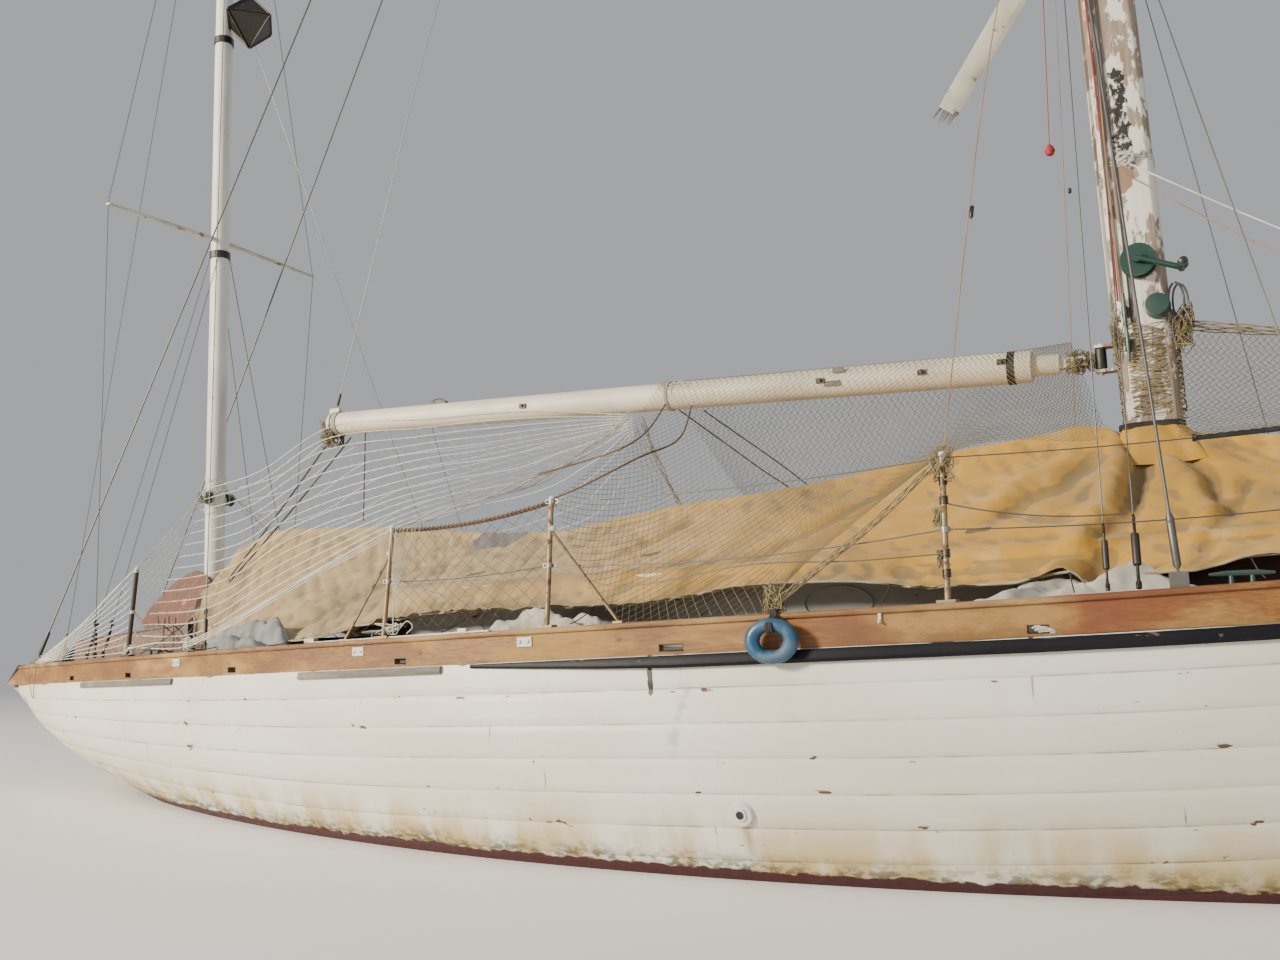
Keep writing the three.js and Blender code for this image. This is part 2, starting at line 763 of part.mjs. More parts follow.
function boxSpar(at, levels) {
  return loft(
    levels.map(([z, long, wide]) => {
      const c = Math.min(long, wide) * 0.16,
        l = long / 2,
        w = wide / 2,
        x = at(z);
      return [
        [x + l, w - c, z],
        [x + l - c, w, z],
        [x - l + c, w, z],
        [x - l, w - c, z],
        [x - l, -w + c, z],
        [x - l + c, -w, z],
        [x + l - c, -w, z],
        [x + l, -w + c, z],
      ];
    }),
  );
}
//   z, fore and aft, across
const MAIN_TAPER = [
  [-248, 0.9, 0.9],
  [1500, 1, 1],
  [6000, 1, 1],
  [10000, 0.9, 0.9],
  [13500, 0.72, 0.72],
  [MAIN_TOP, 0.5, 0.55],
].map(([z, long, wide]) => [z, long * MAIN_FORE_AFT, wide * MAIN_ACROSS]);
const mainSpar = boxSpar(mainAt, MAIN_TAPER);
const mainFore = (z) => mainAt(z) + between(MAIN_TAPER, z, 1) / 2;
const mainBack = (z) => mainAt(z) - between(MAIN_TAPER, z, 1) / 2;
const mainSide = (z) => between(MAIN_TAPER, z, 2) / 2;
const track = loft(
  [2700, 6000, 10000, 13500, 15300].map((z) => {
    const back = mainBack(z);
    return [
      [back + 20, -16, z],
      [back + 20, 16, z],
      [back - 22, 16, z],
      [back - 22, -16, z],
    ];
  }),
);
// Gooseneck cheeks on the mast hold an upright pin
const GOOSE_X = mainAt(BOOM_FORE_Z) - MAIN_FORE_AFT / 2 - 92,
  CROSS_X = GOOSE_X - 95,
  GOOSE_PIN = 11,
  GOOSE_BORE = 11.5;
const cheek = (z) => box(GOOSE_X - 30, GOOSE_X + 110, -34, 34, z - 8, z + 8);
node(
  "main_mast",
  join(
    mainSpar,
    track,
    cheek(BOOM_FORE_Z + 66),
    cheek(BOOM_FORE_Z - 66),
    rod([GOOSE_X, 0, BOOM_FORE_Z - 86], [GOOSE_X, 0, BOOM_FORE_Z + 86], GOOSE_PIN, 24),
  ),
  "white_paint",
);
node(
  "gooseneck_swivel",
  cut(
    join(
      rod([GOOSE_X, 0, BOOM_FORE_Z - 52], [GOOSE_X, 0, BOOM_FORE_Z + 52], 28, 20),
      box(CROSS_X - 10, GOOSE_X, -12, 12, BOOM_FORE_Z - 22, BOOM_FORE_Z + 22),
      rod([CROSS_X, -52, BOOM_FORE_Z], [CROSS_X, 52, BOOM_FORE_Z], GOOSE_PIN, 24),
    ),
    rod([GOOSE_X, 0, BOOM_FORE_Z - 90], [GOOSE_X, 0, BOOM_FORE_Z + 90], GOOSE_BORE, 24),
  ),
  "galvanised",
);

const MIZZEN_TAPER = [
  [deckTop(MIZZEN_X, 0) - 20, 0.95],
  [2500, 1],
  [6000, 0.94],
  [8200, 0.78],
  [MIZZEN_TOP, 0.5],
];
const mizzenRadius = (z) => (MIZZEN_DIA / 2) * between(MIZZEN_TAPER, z, 1);
{
  const spar = loft(
    MIZZEN_TAPER.map(([z, k]) =>
      Array.from({ length: 16 }, (_, i) => [
        mizzenAt(z) + Math.cos((i * Math.PI) / 8) * (MIZZEN_DIA / 2) * k,
        Math.sin((i * Math.PI) / 8) * (MIZZEN_DIA / 2) * k,
        z,
      ]),
    ),
  );
  const rail = loft(
    [2300, 2500, 6000, 8200, 9600].map((z) => {
      const back = mizzenAt(z) - mizzenRadius(z);
      return [
        [back + 16, -12, z],
        [back + 16, 12, z],
        [back - 14, 12, z],
        [back - 14, -12, z],
      ];
    }),
  );
  node("mizzen_mast", onDeck(join(spar, rail)), "white_paint");
}

// Spreaders: name, root x, root y, root z, tip x, tip y, tip z, chord at root, chord at tip, thickness
const SPREADER_Z = 5240,
  UPPER_Z = 9700,
  MIZZEN_SPREADER_Z = 4390;
const mainRoot = (z, side) => [mainAt(z), side * (mainSide(z) - 12), z];
const mizzenRoot = (z, side) => [mizzenAt(z), side * (mizzenRadius(z) - 8), z];
const SPREADERS = [
  ["main_spreader_starboard", ...mainRoot(SPREADER_Z, -1), mainAt(SPREADER_Z) - 90, -1180, SPREADER_Z + 60, 150, 96, 34],
  ["main_spreader_upper_starboard", ...mainRoot(UPPER_Z, -1), mainAt(UPPER_Z) - 60, -860, UPPER_Z + 40, 120, 80, 30],
  ["main_spreader_upper_port", ...mainRoot(UPPER_Z, 1), mainAt(UPPER_Z) - 60, 860, UPPER_Z + 40, 120, 80, 30],
  ["mizzen_spreader_starboard", ...mizzenRoot(MIZZEN_SPREADER_Z, -1), -5200, -1050, 4350, 70, 46, 28],
  ["mizzen_spreader_port", ...mizzenRoot(MIZZEN_SPREADER_Z, 1), -5200, 1050, 4385, 70, 46, 28],
  ["main_spreader_port_broken", 1560, 128, 5290, 640, 420, 4215, 150, 132, 34],
];
for (const [name, x0, y0, z0, x1, y1, z1, chord0, chord1, thick] of SPREADERS) {
  const a = new THREE.Vector3(x0, y0, z0),
    b = new THREE.Vector3(x1, y1, z1),
    along = b.clone().sub(a).normalize(),
    across = new THREE.Vector3(1, 0, 0).addScaledVector(along, -along.x).normalize(),
    up = new THREE.Vector3().crossVectors(along, across);
  const ring = (p, chord, t) =>
    [
      [0.5, 0],
      [0.28, 0.42],
      [-0.1, 0.5],
      [-0.5, 0.12],
      [-0.5, -0.12],
      [-0.1, -0.5],
      [0.28, -0.42],
    ].map(([c, h]) => p.clone().addScaledVector(across, c * chord).addScaledVector(up, h * t).toArray());
  const board = loft([ring(a, chord0, thick), ring(b, chord1, thick * 0.7)]);
  // Each root stops at the side of its mast; the broken board still hangs by its root socket.
  const flank = (name.startsWith("mizzen") ? mizzenRadius(z0 - 40) : mainSide(z0 - 120)) + SEAT;
  const mastSide = box(x0 - 300, x0 + 300, -flank, flank, z0 - 400, z0 + 400);
  const socket = box(x0 - 75, x0 + 75, flank - 20, flank + 46, z0 - 110, z0 + 34);
  node(name, cut(name.endsWith("broken") ? join(board, socket) : board, mastSide), "white_paint");
}

// Boom, its fork astride the swivel
{
  const thin = [CROSS_X - 110, 0, BOOM_FORE_Z + 4],
    full = [CROSS_X - 250, 0, BOOM_FORE_Z + 10],
    aft = [BOOM_AFT_X, 0, BOOM_AFT_Z];
  const r = BOOM_DIA / 2;
  const ear = (side) => box(CROSS_X - 150, CROSS_X + 24, side * 24 - 6, side * 24 + 6, BOOM_FORE_Z - 26, BOOM_FORE_Z + 26);
  const spar = join(rod(full, aft, r, 20, r * 0.96), rod(thin, full, 56, 16), ear(-1), ear(1));
  const bore = rod([CROSS_X, -60, BOOM_FORE_Z], [CROSS_X, 60, BOOM_FORE_Z], GOOSE_BORE, 24);
  const eye = box(BOOM_AFT_X - 30, BOOM_AFT_X + 60, -14, 14, BOOM_AFT_Z, BOOM_AFT_Z + 118);
  node("main_boom", cut(spar.add(solid(eye)), bore), "cream_paint");
}

// Reel winch on the starboard side of the mast, with its crank
{
  const [x, z] = [mainAt(2900) + 10, 2905];
  const face = -MAIN_ACROSS / 2 - SEAT;
  node(
    "mast_winch",
    join(
      rod([x, face, z], [x, face - 24, z], 84, 24),
      rod([x, face - 20, z], [x, face - 74, z], 62, 24),
      rod([x, face - 72, z], [x, face - 90, z], 84, 24),
      rod([x, face - 84, z], [x, face - 122, z], 24, 14),
      rod([x - 10, face - 112, z + 4], [x + 205, face - 112, z - 92], 15, 10),
      rod([x + 195, face - 96, z - 88], [x + 195, face - 200, z - 88], 18, 12),
    ),
    "green_metal",
  );
}

// Stanchions: name, x, side, top x offset, height, brace foot x offset (0 for none), post radius
const STANCHIONS = [
  ["aft", -4740, 60, 590, 0, 15],
  ["gate_aft", -2080, 55, 585, -300, 13],
  ["gate_fore", -1010, 35, 622, 400, 13],
  ["middle", 890, 12, 610, 0, 13],
  ["fore", 3100, 0, 600, 0, 13],
];
// A plate lying on the cap rail's own slope: middle x, side, half length, half width, height
function capPlate(x, side, long, wide, high) {
  const y = side * (capHalf(x) - 46),
    rise = x > 1000 ? 0.8 : 0.35;
  return strip([x - long, x + long], (at) => [
    [y - wide, capZ(at) + rise],
    [y + wide, capZ(at) + rise],
    [y + wide, capZ(at) + high],
    [y - wide, capZ(at) + high],
  ]);
}
const onRail = (x, side, above) => [x, side * (capHalf(x) - 46), capZ(x) + above];
for (const [word, x, lean, high, brace, r] of STANCHIONS)
  for (const [side, sideWord] of [
    [-1, "starboard"],
    [1, "port"],
  ]) {
    const foot = onRail(x, side, 6),
      top = [foot[0] + lean, foot[1], capZ(x) + high];
    const parts = [capPlate(x, side, 42, 27, 12), rod(foot, top, r, 12)];
    if (brace)
      parts.push(
        capPlate(x + brace, side, 26, 18, 10),
        rod(onRail(x + brace, side, 5), [x + lean * 0.8, foot[1], capZ(x) + high * 0.76], 8, 8),
      );
    node("stanchion_" + word + "_" + sideWord, join(...parts), word === "aft" ? "dark_metal" : "steel");
  }

// Main stays, each with a rigging screw at its foot
const spreaderTip = (side) => [mainAt(SPREADER_Z) - 90, side * 1196, SPREADER_Z + 62];
const upperTip = (side) => [mainAt(UPPER_Z) - 60, side * 876, UPPER_Z + 42];
const SHROUD_Z = 14600,
  BACKSTAY_Z = 15720,
  FORESTAY_Z = 15690,
  TANG_LONG = 60;
const mastHead = (side) => [mainAt(SHROUD_Z), side * (mainSide(SHROUD_Z) + 12), SHROUD_Z];
// A plate against one face of the mast: face(z) gives x of a fore or aft face, or y of a side face.
function foreTang(face, out, z) {
  return loft([z - TANG_LONG / 2, z + TANG_LONG / 2].map((at) => {
    const near = face(at) + Math.sign(out) * SEAT;
    return [
      [near, -9, at],
      [near + out, -9, at],
      [near + out, 9, at],
      [near, 9, at],
    ];
  }));
}
function sideTang(side, z) {
  return loft([z - TANG_LONG / 2, z + TANG_LONG / 2].map((at) => {
    const near = side * (mainSide(at) + SEAT),
      x = mainAt(at);
    return [
      [x - 14, near, at],
      [x + 14, near, at],
      [x + 14, near + side * 30, at],
      [x - 14, near + side * 30, at],
    ];
  }));
}
const STAY_R = 6,
  SCREW_LONG = 230;
// Eight-sided wire through points, each with its own radius.
function wire(stops) {
  const points = stops.map(([p]) => new THREE.Vector3(...p));
  const across = new THREE.Vector3(1, 0, 0);
  return loft(
    stops.map(([, r], i) => {
      const back = points[Math.max(i - 1, 0)],
        next = points[Math.min(i + 1, points.length - 1)],
        along = next.clone().sub(back).normalize(),
        u = across.clone().addScaledVector(along, -across.dot(along)).normalize(),
        v = new THREE.Vector3().crossVectors(along, u);
      return Array.from({ length: 8 }, (_, k) =>
        points[i]
          .clone()
          .addScaledVector(u, r * Math.cos((k * Math.PI) / 4))
          .addScaledVector(v, r * Math.sin((k * Math.PI) / 4))
          .toArray(),
      );
    }),
  );
}
function stay(x, side, rest, tang) {
  const base = new THREE.Vector3(...onRail(x, side, 40)),
    lift = new THREE.Vector3(...rest[0]).sub(base).normalize(),
    at = (far) => base.clone().addScaledVector(lift, far).toArray();
  return join(
    tang,
    capPlate(x, side, 34, 8, 58),
    wire([
      [at(0), 5],
      [at(30), 5],
      [at(46), 15],
      [at(SCREW_LONG), 15],
      [at(SCREW_LONG + 24), STAY_R],
      ...rest.map((p) => [p, STAY_R]),
    ]),
  );
}
const backTang = (side) => solid(foreTang(mainBack, -40, BACKSTAY_Z)).translate([0, side * 22, 0]);
for (const [side, word] of [
  [-1, "starboard"],
  [1, "port"],
]) {
  const over = side < 0 ? [spreaderTip(side), upperTip(side), mastHead(side)] : [upperTip(side), mastHead(side)];
  node("main_shroud_" + word, stay(1740, side, over, sideTang(side, SHROUD_Z)), "galvanised");
  node(
    "main_backstay_" + word,
    stay(-6600, side, [[mainBack(BACKSTAY_Z) - 12, side * 22, BACKSTAY_Z]], backTang(side)),
    "galvanised",
  );
}
node(
  "forestay",
  join(
    foreTang(mainFore, 40, FORESTAY_Z),
    wire([
      [[6180, 0, deckTop(6210, 0) + 56.4], STAY_R],
      [[mainFore(FORESTAY_Z) + 13, 0, FORESTAY_Z], STAY_R],
    ]),
  ),
  "galvanised",
);

// Stemhead fitting and samson post on the foredeck
node(
  "stemhead_fitting",
  onDeck(
    join(
      box(6040, 6240, -26, 26, deckTop(6040, 0) - 10, deckTop(6240, 0) + 22),
      box(6150, 6210, -9, 9, deckTop(6100, 0) + 10, deckTop(6210, 0) + 54),
    ),
  ),
  "galvanised",
);
{
  const x = 5000,
    z = deckTop(x, 0);
  node(
    "samson_post",
    onDeck(
      join(
        box(x - 60, x + 60, -60, 60, z - 30, z + 330),
        rod([x, -170, z + 220], [x, 170, z + 220], 16, 14),
      ),
    ),
    "varnish",
  );
}

// Radar reflector, an eight-faced body on a short arm from the mizzen
{
  const z = 6260,
    r = 225,
    face = mizzenAt(z) + mizzenRadius(z) + 0.5,
    middle = face + r + 12;
  node(
    "radar_reflector",
    join(
      new THREE.OctahedronGeometry(r).translate(middle, 0, z),
      rod([face, 0, z], [face + 40, 0, z], 9, 12),
    ),
    "dark_metal",
  );
}

// Cover: a tent over cockpit and cabin, carried on a ridge pole
//   x, ridge z, edge z, edge half-breadth
const COVER = [
  [-5020, 1745, 1600, 170],
  [-4850, 1835, 1420, 420],
  [-4670, 1900, 1290, 590],
  [-4460, 1955, 1160, 770],
  [-4100, 1945, 1118, 930],
  [-3400, 1905, 1105, 1090],
  [-2500, 1800, 1160, 1200],
  [-1900, 1770, 1185, 1245],
  [-1300, 1860, 1205, 1265],
  [-600, 1905, 1230, 1275],
  [0, 1960, 1290, 1275],
  [700, 2060, 1260, 1265],
  [1300, 2085, 1275, 1240],
  [2100, 1990, 1352, 1180],
  [2800, 1900, 1380, 1050],
  [3080, 1820, 1385, 980],
];
const ridgeZ = table(COVER, 1),
  edgeZ = table(COVER, 2),
  edgeY = table(COVER, 3);
const coverXs = [-5020, -4850, -4670, -4460, -4280, -4100, -3900, -3400, -2900, -2400, -1900, -1500, -1100, -600, -200, 200, 700, 1100, 1300, 1600, 2100, 2600, 2900, 3080];
// Half section of the cover from the ridge out: [part of the way to the knee, part of the fall, sag]
const COVER_PARTS = [
  [0.05, 0.02],
  [0.2, 0.2],
  [0.45, 0.47],
  [0.72, 0.74],
  [0.92, 0.93],
];
const kneeY = (x) => Math.min(edgeY(x) - 30, x < CABIN_AFT - 60 ? edgeY(x) - 30 : cabinHalf(x) + 46);
const kneeZ = (x) =>
  x < CABIN_AFT - 60 ? edgeZ(x) + 60 : Math.max(edgeZ(x) + 60, cabinTop(x) + 34 + 34);
function coverLine(x, drop) {
  const rz = ridgeZ(x),
    ky = kneeY(x),
    kz = kneeZ(x),
    half = [
      ...COVER_PARTS.map(([a, fall]) => [ky * a, rz - (rz - kz) * fall - drop]),
      [ky - drop * 0.7, kz - drop * 0.9],
      [edgeY(x) - drop, edgeZ(x) + 14],
      [edgeY(x) + 4 - drop, edgeZ(x) - 24],
    ];
  return [...half.map(([y, z]) => [-y, z]).reverse(), ...half];
}
const coverShell = strip(coverXs, (x) => [...coverLine(x, 0), ...coverLine(x, COVER_THICK).reverse()]);
const mastHole = box(mainAt(2050) - 175, mainAt(2050) + 185, -150, 150, 1400, 2400);
node("cover", cut(coverShell, mastHole), "canvas");

// Ridge pole under the cover, on three crutches
{
  const poleZ = (x) => ridgeZ(x) - 0.02 * (ridgeZ(x) - kneeZ(x)) - COVER_THICK - 26.5;
  const poleXs = coverXs.filter((x) => x >= -4900 && x <= 1300);
  const pole = loft(
    poleXs.map((x) =>
      Array.from({ length: 8 }, (_, i) => [
        x,
        Math.cos((i * Math.PI) / 4) * 26,
        poleZ(x) + Math.sin((i * Math.PI) / 4) * 26,
      ]),
    ),
  );
  const crutch = (x, foot) => rod([x, 0, foot], [x, 0, poleZ(x) - 10], 24, 10);
  const roofTop = (x) => cabinTop(x) + 34 + roofCamber(x, 0) + 1.2;
  node(
    "cover_ridge_pole",
    join(
      pole,
      crutch(-3400, COCKPIT[3] + SEAT),
      crutch(-600, roofTop(-600)),
      crutch(1100, roofTop(1100)),
    ),
    "varnish",
  );
}

// Leaf-shaped board standing on the counter box, its back against the mizzen
{
  const lean = 0.28,
    touch = 1650,
    back = -(mizzenRadius(touch) + 1.2),
    shape = new THREE.Shape()
      .moveTo(-5660, 1205)
      .lineTo(-5250, 1225)
      .quadraticCurveTo(-5090, 1330, -5030, 1460)
      .quadraticCurveTo(-5010, 1600, -5262, 1668)
      .quadraticCurveTo(-5440, 1640, -5600, 1470)
      .quadraticCurveTo(-5720, 1350, -5754, 1290);
  const flat = new THREE.ExtrudeGeometry(shape, { depth: 18, bevelEnabled: false, curveSegments: 7 });
  const place = new THREE.Matrix4().set(1, 0, 0, 0, 0, lean, -1, back - lean * touch, 0, 1, 0, 0, 0, 0, 0, 1);
  const underBox = strip([LOCKER[0], LOCKER[1] + 90], (x) => [
    [-LOCKER[2], lockerTop(x) + SEAT],
    [LOCKER[2], lockerTop(x) + SEAT],
    [LOCKER[2], lockerTop(x) - 200],
    [-LOCKER[2], lockerTop(x) - 200],
  ]);
  node("varnished_board", cut(solid(flat.applyMatrix4(place)), underBox), "varnish");
}

// Ring fender hanging against the starboard rubbing strake
{
  const x = 170,
    tube = 28,
    turn = Math.atan2(capHalf(x + 100) - capHalf(x - 100), 200),
    out = planking(x, deckZ(x) - 60) + 27.5 + tube;
  node(
    "ring_fender",
    new THREE.TorusGeometry(70, tube, 12, 24)
      .rotateX(Math.PI / 2)
      .scale(1.25, 1, 1)
      .rotateZ(-turn)
      .translate(x, -out, capZ(x) - 118),
    "blue_plastic",
  );
}

export default root;
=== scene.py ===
"""Surfaces, cloth, net and rigging of a wooden yawl laid up afloat under a cover.

Metres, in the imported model's frame: +X to the bow, +Y to port, +Z up, and the waterline at 0.
"""

import logging
import math
import random
from collections.abc import Callable, Iterable, Sequence
from dataclasses import dataclass, field
from enum import Enum
from typing import Any

import bpy
import numpy as np
from mathutils import Matrix, Vector, noise
from mathutils.bvhtree import BVHTree


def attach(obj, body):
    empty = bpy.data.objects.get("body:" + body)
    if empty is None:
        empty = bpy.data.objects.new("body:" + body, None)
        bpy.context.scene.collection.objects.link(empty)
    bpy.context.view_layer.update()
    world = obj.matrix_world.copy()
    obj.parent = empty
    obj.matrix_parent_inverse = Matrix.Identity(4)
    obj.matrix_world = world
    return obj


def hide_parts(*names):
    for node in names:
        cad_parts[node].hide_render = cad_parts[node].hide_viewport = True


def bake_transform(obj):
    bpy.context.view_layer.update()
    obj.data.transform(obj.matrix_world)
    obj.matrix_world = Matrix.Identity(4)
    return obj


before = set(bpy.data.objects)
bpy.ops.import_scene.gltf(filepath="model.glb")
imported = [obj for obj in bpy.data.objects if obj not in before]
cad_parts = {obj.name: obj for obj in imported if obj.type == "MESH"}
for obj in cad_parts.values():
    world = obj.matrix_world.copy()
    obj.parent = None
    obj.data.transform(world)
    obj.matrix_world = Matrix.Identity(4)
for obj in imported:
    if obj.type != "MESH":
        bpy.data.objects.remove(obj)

LOG = logging.getLogger("yawl")
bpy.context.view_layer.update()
HULL = "hull_and_rig"
BOOM = "boom"
Colour = tuple[float, float, float]
Point = Sequence[float]
RNG = random.Random(7)


class Side(Enum):
    """A side of the boat, with the sign of its Y."""

    STARBOARD = -1
    PORT = 1

    @property
    def word(self) -> str:
        """The side's name in lower case."""
        return self.name.lower()


def operator(operation: str, swapped: bool = False) -> Callable[..., "Value"]:
    """A method of Value that adds one Math node.

    Args:
        operation: the node's operation.
        swapped: puts the other number first.

    Returns:
        The method.
    """
    def method(self: "Value", *others: "Term") -> "Value":
        """One Math node on the value and any others."""
        return self.shader.math(operation, *((*others, self) if swapped else (self, *others)))
    return method


class Value:
    """A number that varies over a surface: a node's output that Python's operators work on."""

    def __init__(self, shader: "Shader", socket: bpy.types.NodeSocket) -> None:
        """Wraps an output socket of the shader."""
        self.shader = shader
        self.socket = socket

    __add__ = __radd__ = operator("ADD")
    __mul__ = __rmul__ = operator("MULTIPLY")
    __sub__, __rsub__ = operator("SUBTRACT"), operator("SUBTRACT", swapped=True)
    __truediv__ = operator("DIVIDE")
    __abs__ = operator("ABSOLUTE")
    part, whole, most = operator("FRACT"), operator("FLOOR"), operator("MAXIMUM")

    def rise(self, low: float, high: float) -> "Value":
        """A smooth step, which falls where low is above high.

        Args:
            low: where it is 0.
            high: where it is 1.

        Returns:
            The step.
        """
        inputs = {"Value": self, "From Min": low, "From Max": high}
        node = self.shader.add("ShaderNodeMapRange", {"interpolation_type": "SMOOTHSTEP"}, inputs)
        return Value(self.shader, node.outputs["Result"])


Term = Value | float


class Shader:
    """The node tree of one material."""

    def __init__(self, name: str) -> None:
        """Starts an empty material.

        Args:
            name: its name.
        """
        self.material = bpy.data.materials.new(name)
        self.material.use_nodes = True
        self.tree = self.material.node_tree
        self.tree.nodes.clear()
        self.place = self.add("ShaderNodeTexCoord").outputs["Object"]
        split = self.add("ShaderNodeSeparateXYZ", {}, {"Vector": self.place})
        self.x, self.y, self.z = (Value(self, socket) for socket in split.outputs)

    def add(self, kind: str, settings: dict[str, Any] | None = None,
            inputs: dict[str | int, Any] | None = None) -> bpy.types.Node:
        """Adds any node.

        Args:
            kind: the node's type.
            settings: attributes that are set first.
            inputs: values or links by socket name or number.

        Returns:
            The node.
        """
        node = self.tree.nodes.new(kind)
        for key, value in (settings or {}).items():
            setattr(node, key, value)
        for key, value in (inputs or {}).items():
            self._feed(node.inputs[key], value)
        return node

    def _feed(self, socket: bpy.types.NodeSocket, value: Any) -> None:
        """Links or sets one input.

        Args:
            socket: the input socket.
            value: a Value, an output socket, a colour or a number.
        """
        if isinstance(value, Value):
            value = value.socket
        if isinstance(value, bpy.types.NodeSocket):
            self.tree.links.new(value, socket)
        elif isinstance(value, tuple) and socket.type == "RGBA":
            socket.default_value = (*value, 1.0)
        else:
            socket.default_value = value

    def math(self, operation: str, *terms: Term) -> Value:
        """One Math node on its terms in order."""
        node = self.add("ShaderNodeMath", {"operation": operation}, dict(enumerate(terms)))
        return Value(self, node.outputs[0])

    def stretched(self, stretch: Point, shift: float = 0.0) -> bpy.types.NodeSocket:
        """The surface's place, scaled along each axis; the shift changes a pattern's draw."""
        inputs = {0: self.place, 1: tuple(stretch), 2: (shift, shift * 0.7, shift * 1.3)}
        return self.add("ShaderNodeVectorMath", {"operation": "MULTIPLY_ADD"}, inputs).outputs[0]

    def noise(self, scale: float, detail: float = 3.0, stretch: Point = (1, 1, 1), shift: float = 0.0,
              rough: float = 0.5) -> Value:
        """Cloudy noise, mostly between 0.3 and 0.7, with its waves a metre and its octaves."""
        inputs = {"Vector": self.stretched(stretch, shift), "Scale": scale, "Detail": detail,
                  "Roughness": rough}
        return Value(self, self.add("ShaderNodeTexNoise", {}, inputs).outputs[0])

    def sine(self, wave: Value) -> Value:
        """The sine of a number."""
        return self.math("SINE", wave)

    def chance(self, row: Value) -> Value:
        """A number from 0 to 1 that is fixed for each whole row."""
        node = self.add("ShaderNodeTexWhiteNoise", {"noise_dimensions": "1D"}, {"W": row})
        return Value(self, node.outputs["Value"])

    def attribute(self, name: str) -> Value:
        """A number kept on the mesh."""
        return Value(self, self.add("ShaderNodeAttribute", {"attribute_name": name}).outputs["Fac"])

    def near(self, start: Point, end: Point, reach: float) -> Value:
        """1 on the X-Z line from start to end, 0 at reach from it.

        Args:
            start: x and z of the line's start.
            end: x and z of its end.
            reach: how far the mark spreads.

        Returns:
            The mark.
        """
        along = Vector((end[0] - start[0], end[1] - start[1]))
        unit = along.normalized()
        run = (self.x - start[0]) * unit.x + (self.z - start[1]) * unit.y
        off = (self.z - start[1]) * unit.x - (self.x - start[0]) * unit.y
        past = (abs(run - along.length / 2) - along.length / 2).most(0.0)
        return (abs(off) + past).rise(reach, 0.0)

    def mix(self, factor: Term, a: Any, b: Any) -> bpy.types.NodeSocket:
        """Two colours mixed, with the factor as the share of the second."""
        settings = {"data_type": "RGBA", "blend_type": "MIX", "clamp_factor": True}
        return self.add("ShaderNodeMix", settings, {0: factor, 6: a, 7: b}).outputs[2]

    def coats(self, base: Any, *coats: tuple[Term, Any]) -> Any:
        """A colour under further coats.

        Args:
            base: the first colour.
            coats: how much of each coat shows, and its colour.

        Returns:
            The colour on top.
        """
        for share, colour in coats:
            base = self.mix(share, base, colour)
        return base

    def surface(self, base: Any, roughness: Term, bump: Value | None = None, **constants: float) -> None:
        """Ends the material in a Principled shader.

        Args:
            base: the colour.
            roughness: the roughness.
            bump: relief in metres.
            constants: other sockets of the shader, with _ for a space.
        """
        inputs = {"Base Color": base, "Roughness": roughness}
        inputs.update({key.replace("_", " "): value for key, value in constants.items()})
        if bump is not None:
            relief = self.add("ShaderNodeBump", {}, {"Height": bump, "Distance": 1.0, "Strength": 1.0})
            inputs["Normal"] = relief.outputs["Normal"]
        shader = self.add("ShaderNodeBsdfPrincipled", {}, inputs)
        self.add("ShaderNodeOutputMaterial", {}, {"Surface": shader.outputs[0]})


def shade(colour: Colour, amount: float) -> Colour:
    """A colour made darker or lighter."""
    return tuple(c * amount for c in colour)


MADE: dict[str, bpy.types.Material] = {}


@dataclass(frozen=True)
class Finish:
    """A finish that makes its material once."""

    name: str

    def paint(self, s: Shader) -> None:
        """Fills the material's node tree."""
        raise NotImplementedError

    def material(self) -> bpy.types.Material:
        """The finish's material."""
        if self.name not in MADE:
            shader = Shader(self.name)
            self.paint(shader)
            MADE[self.name] = shader.material
        return MADE[self.name]


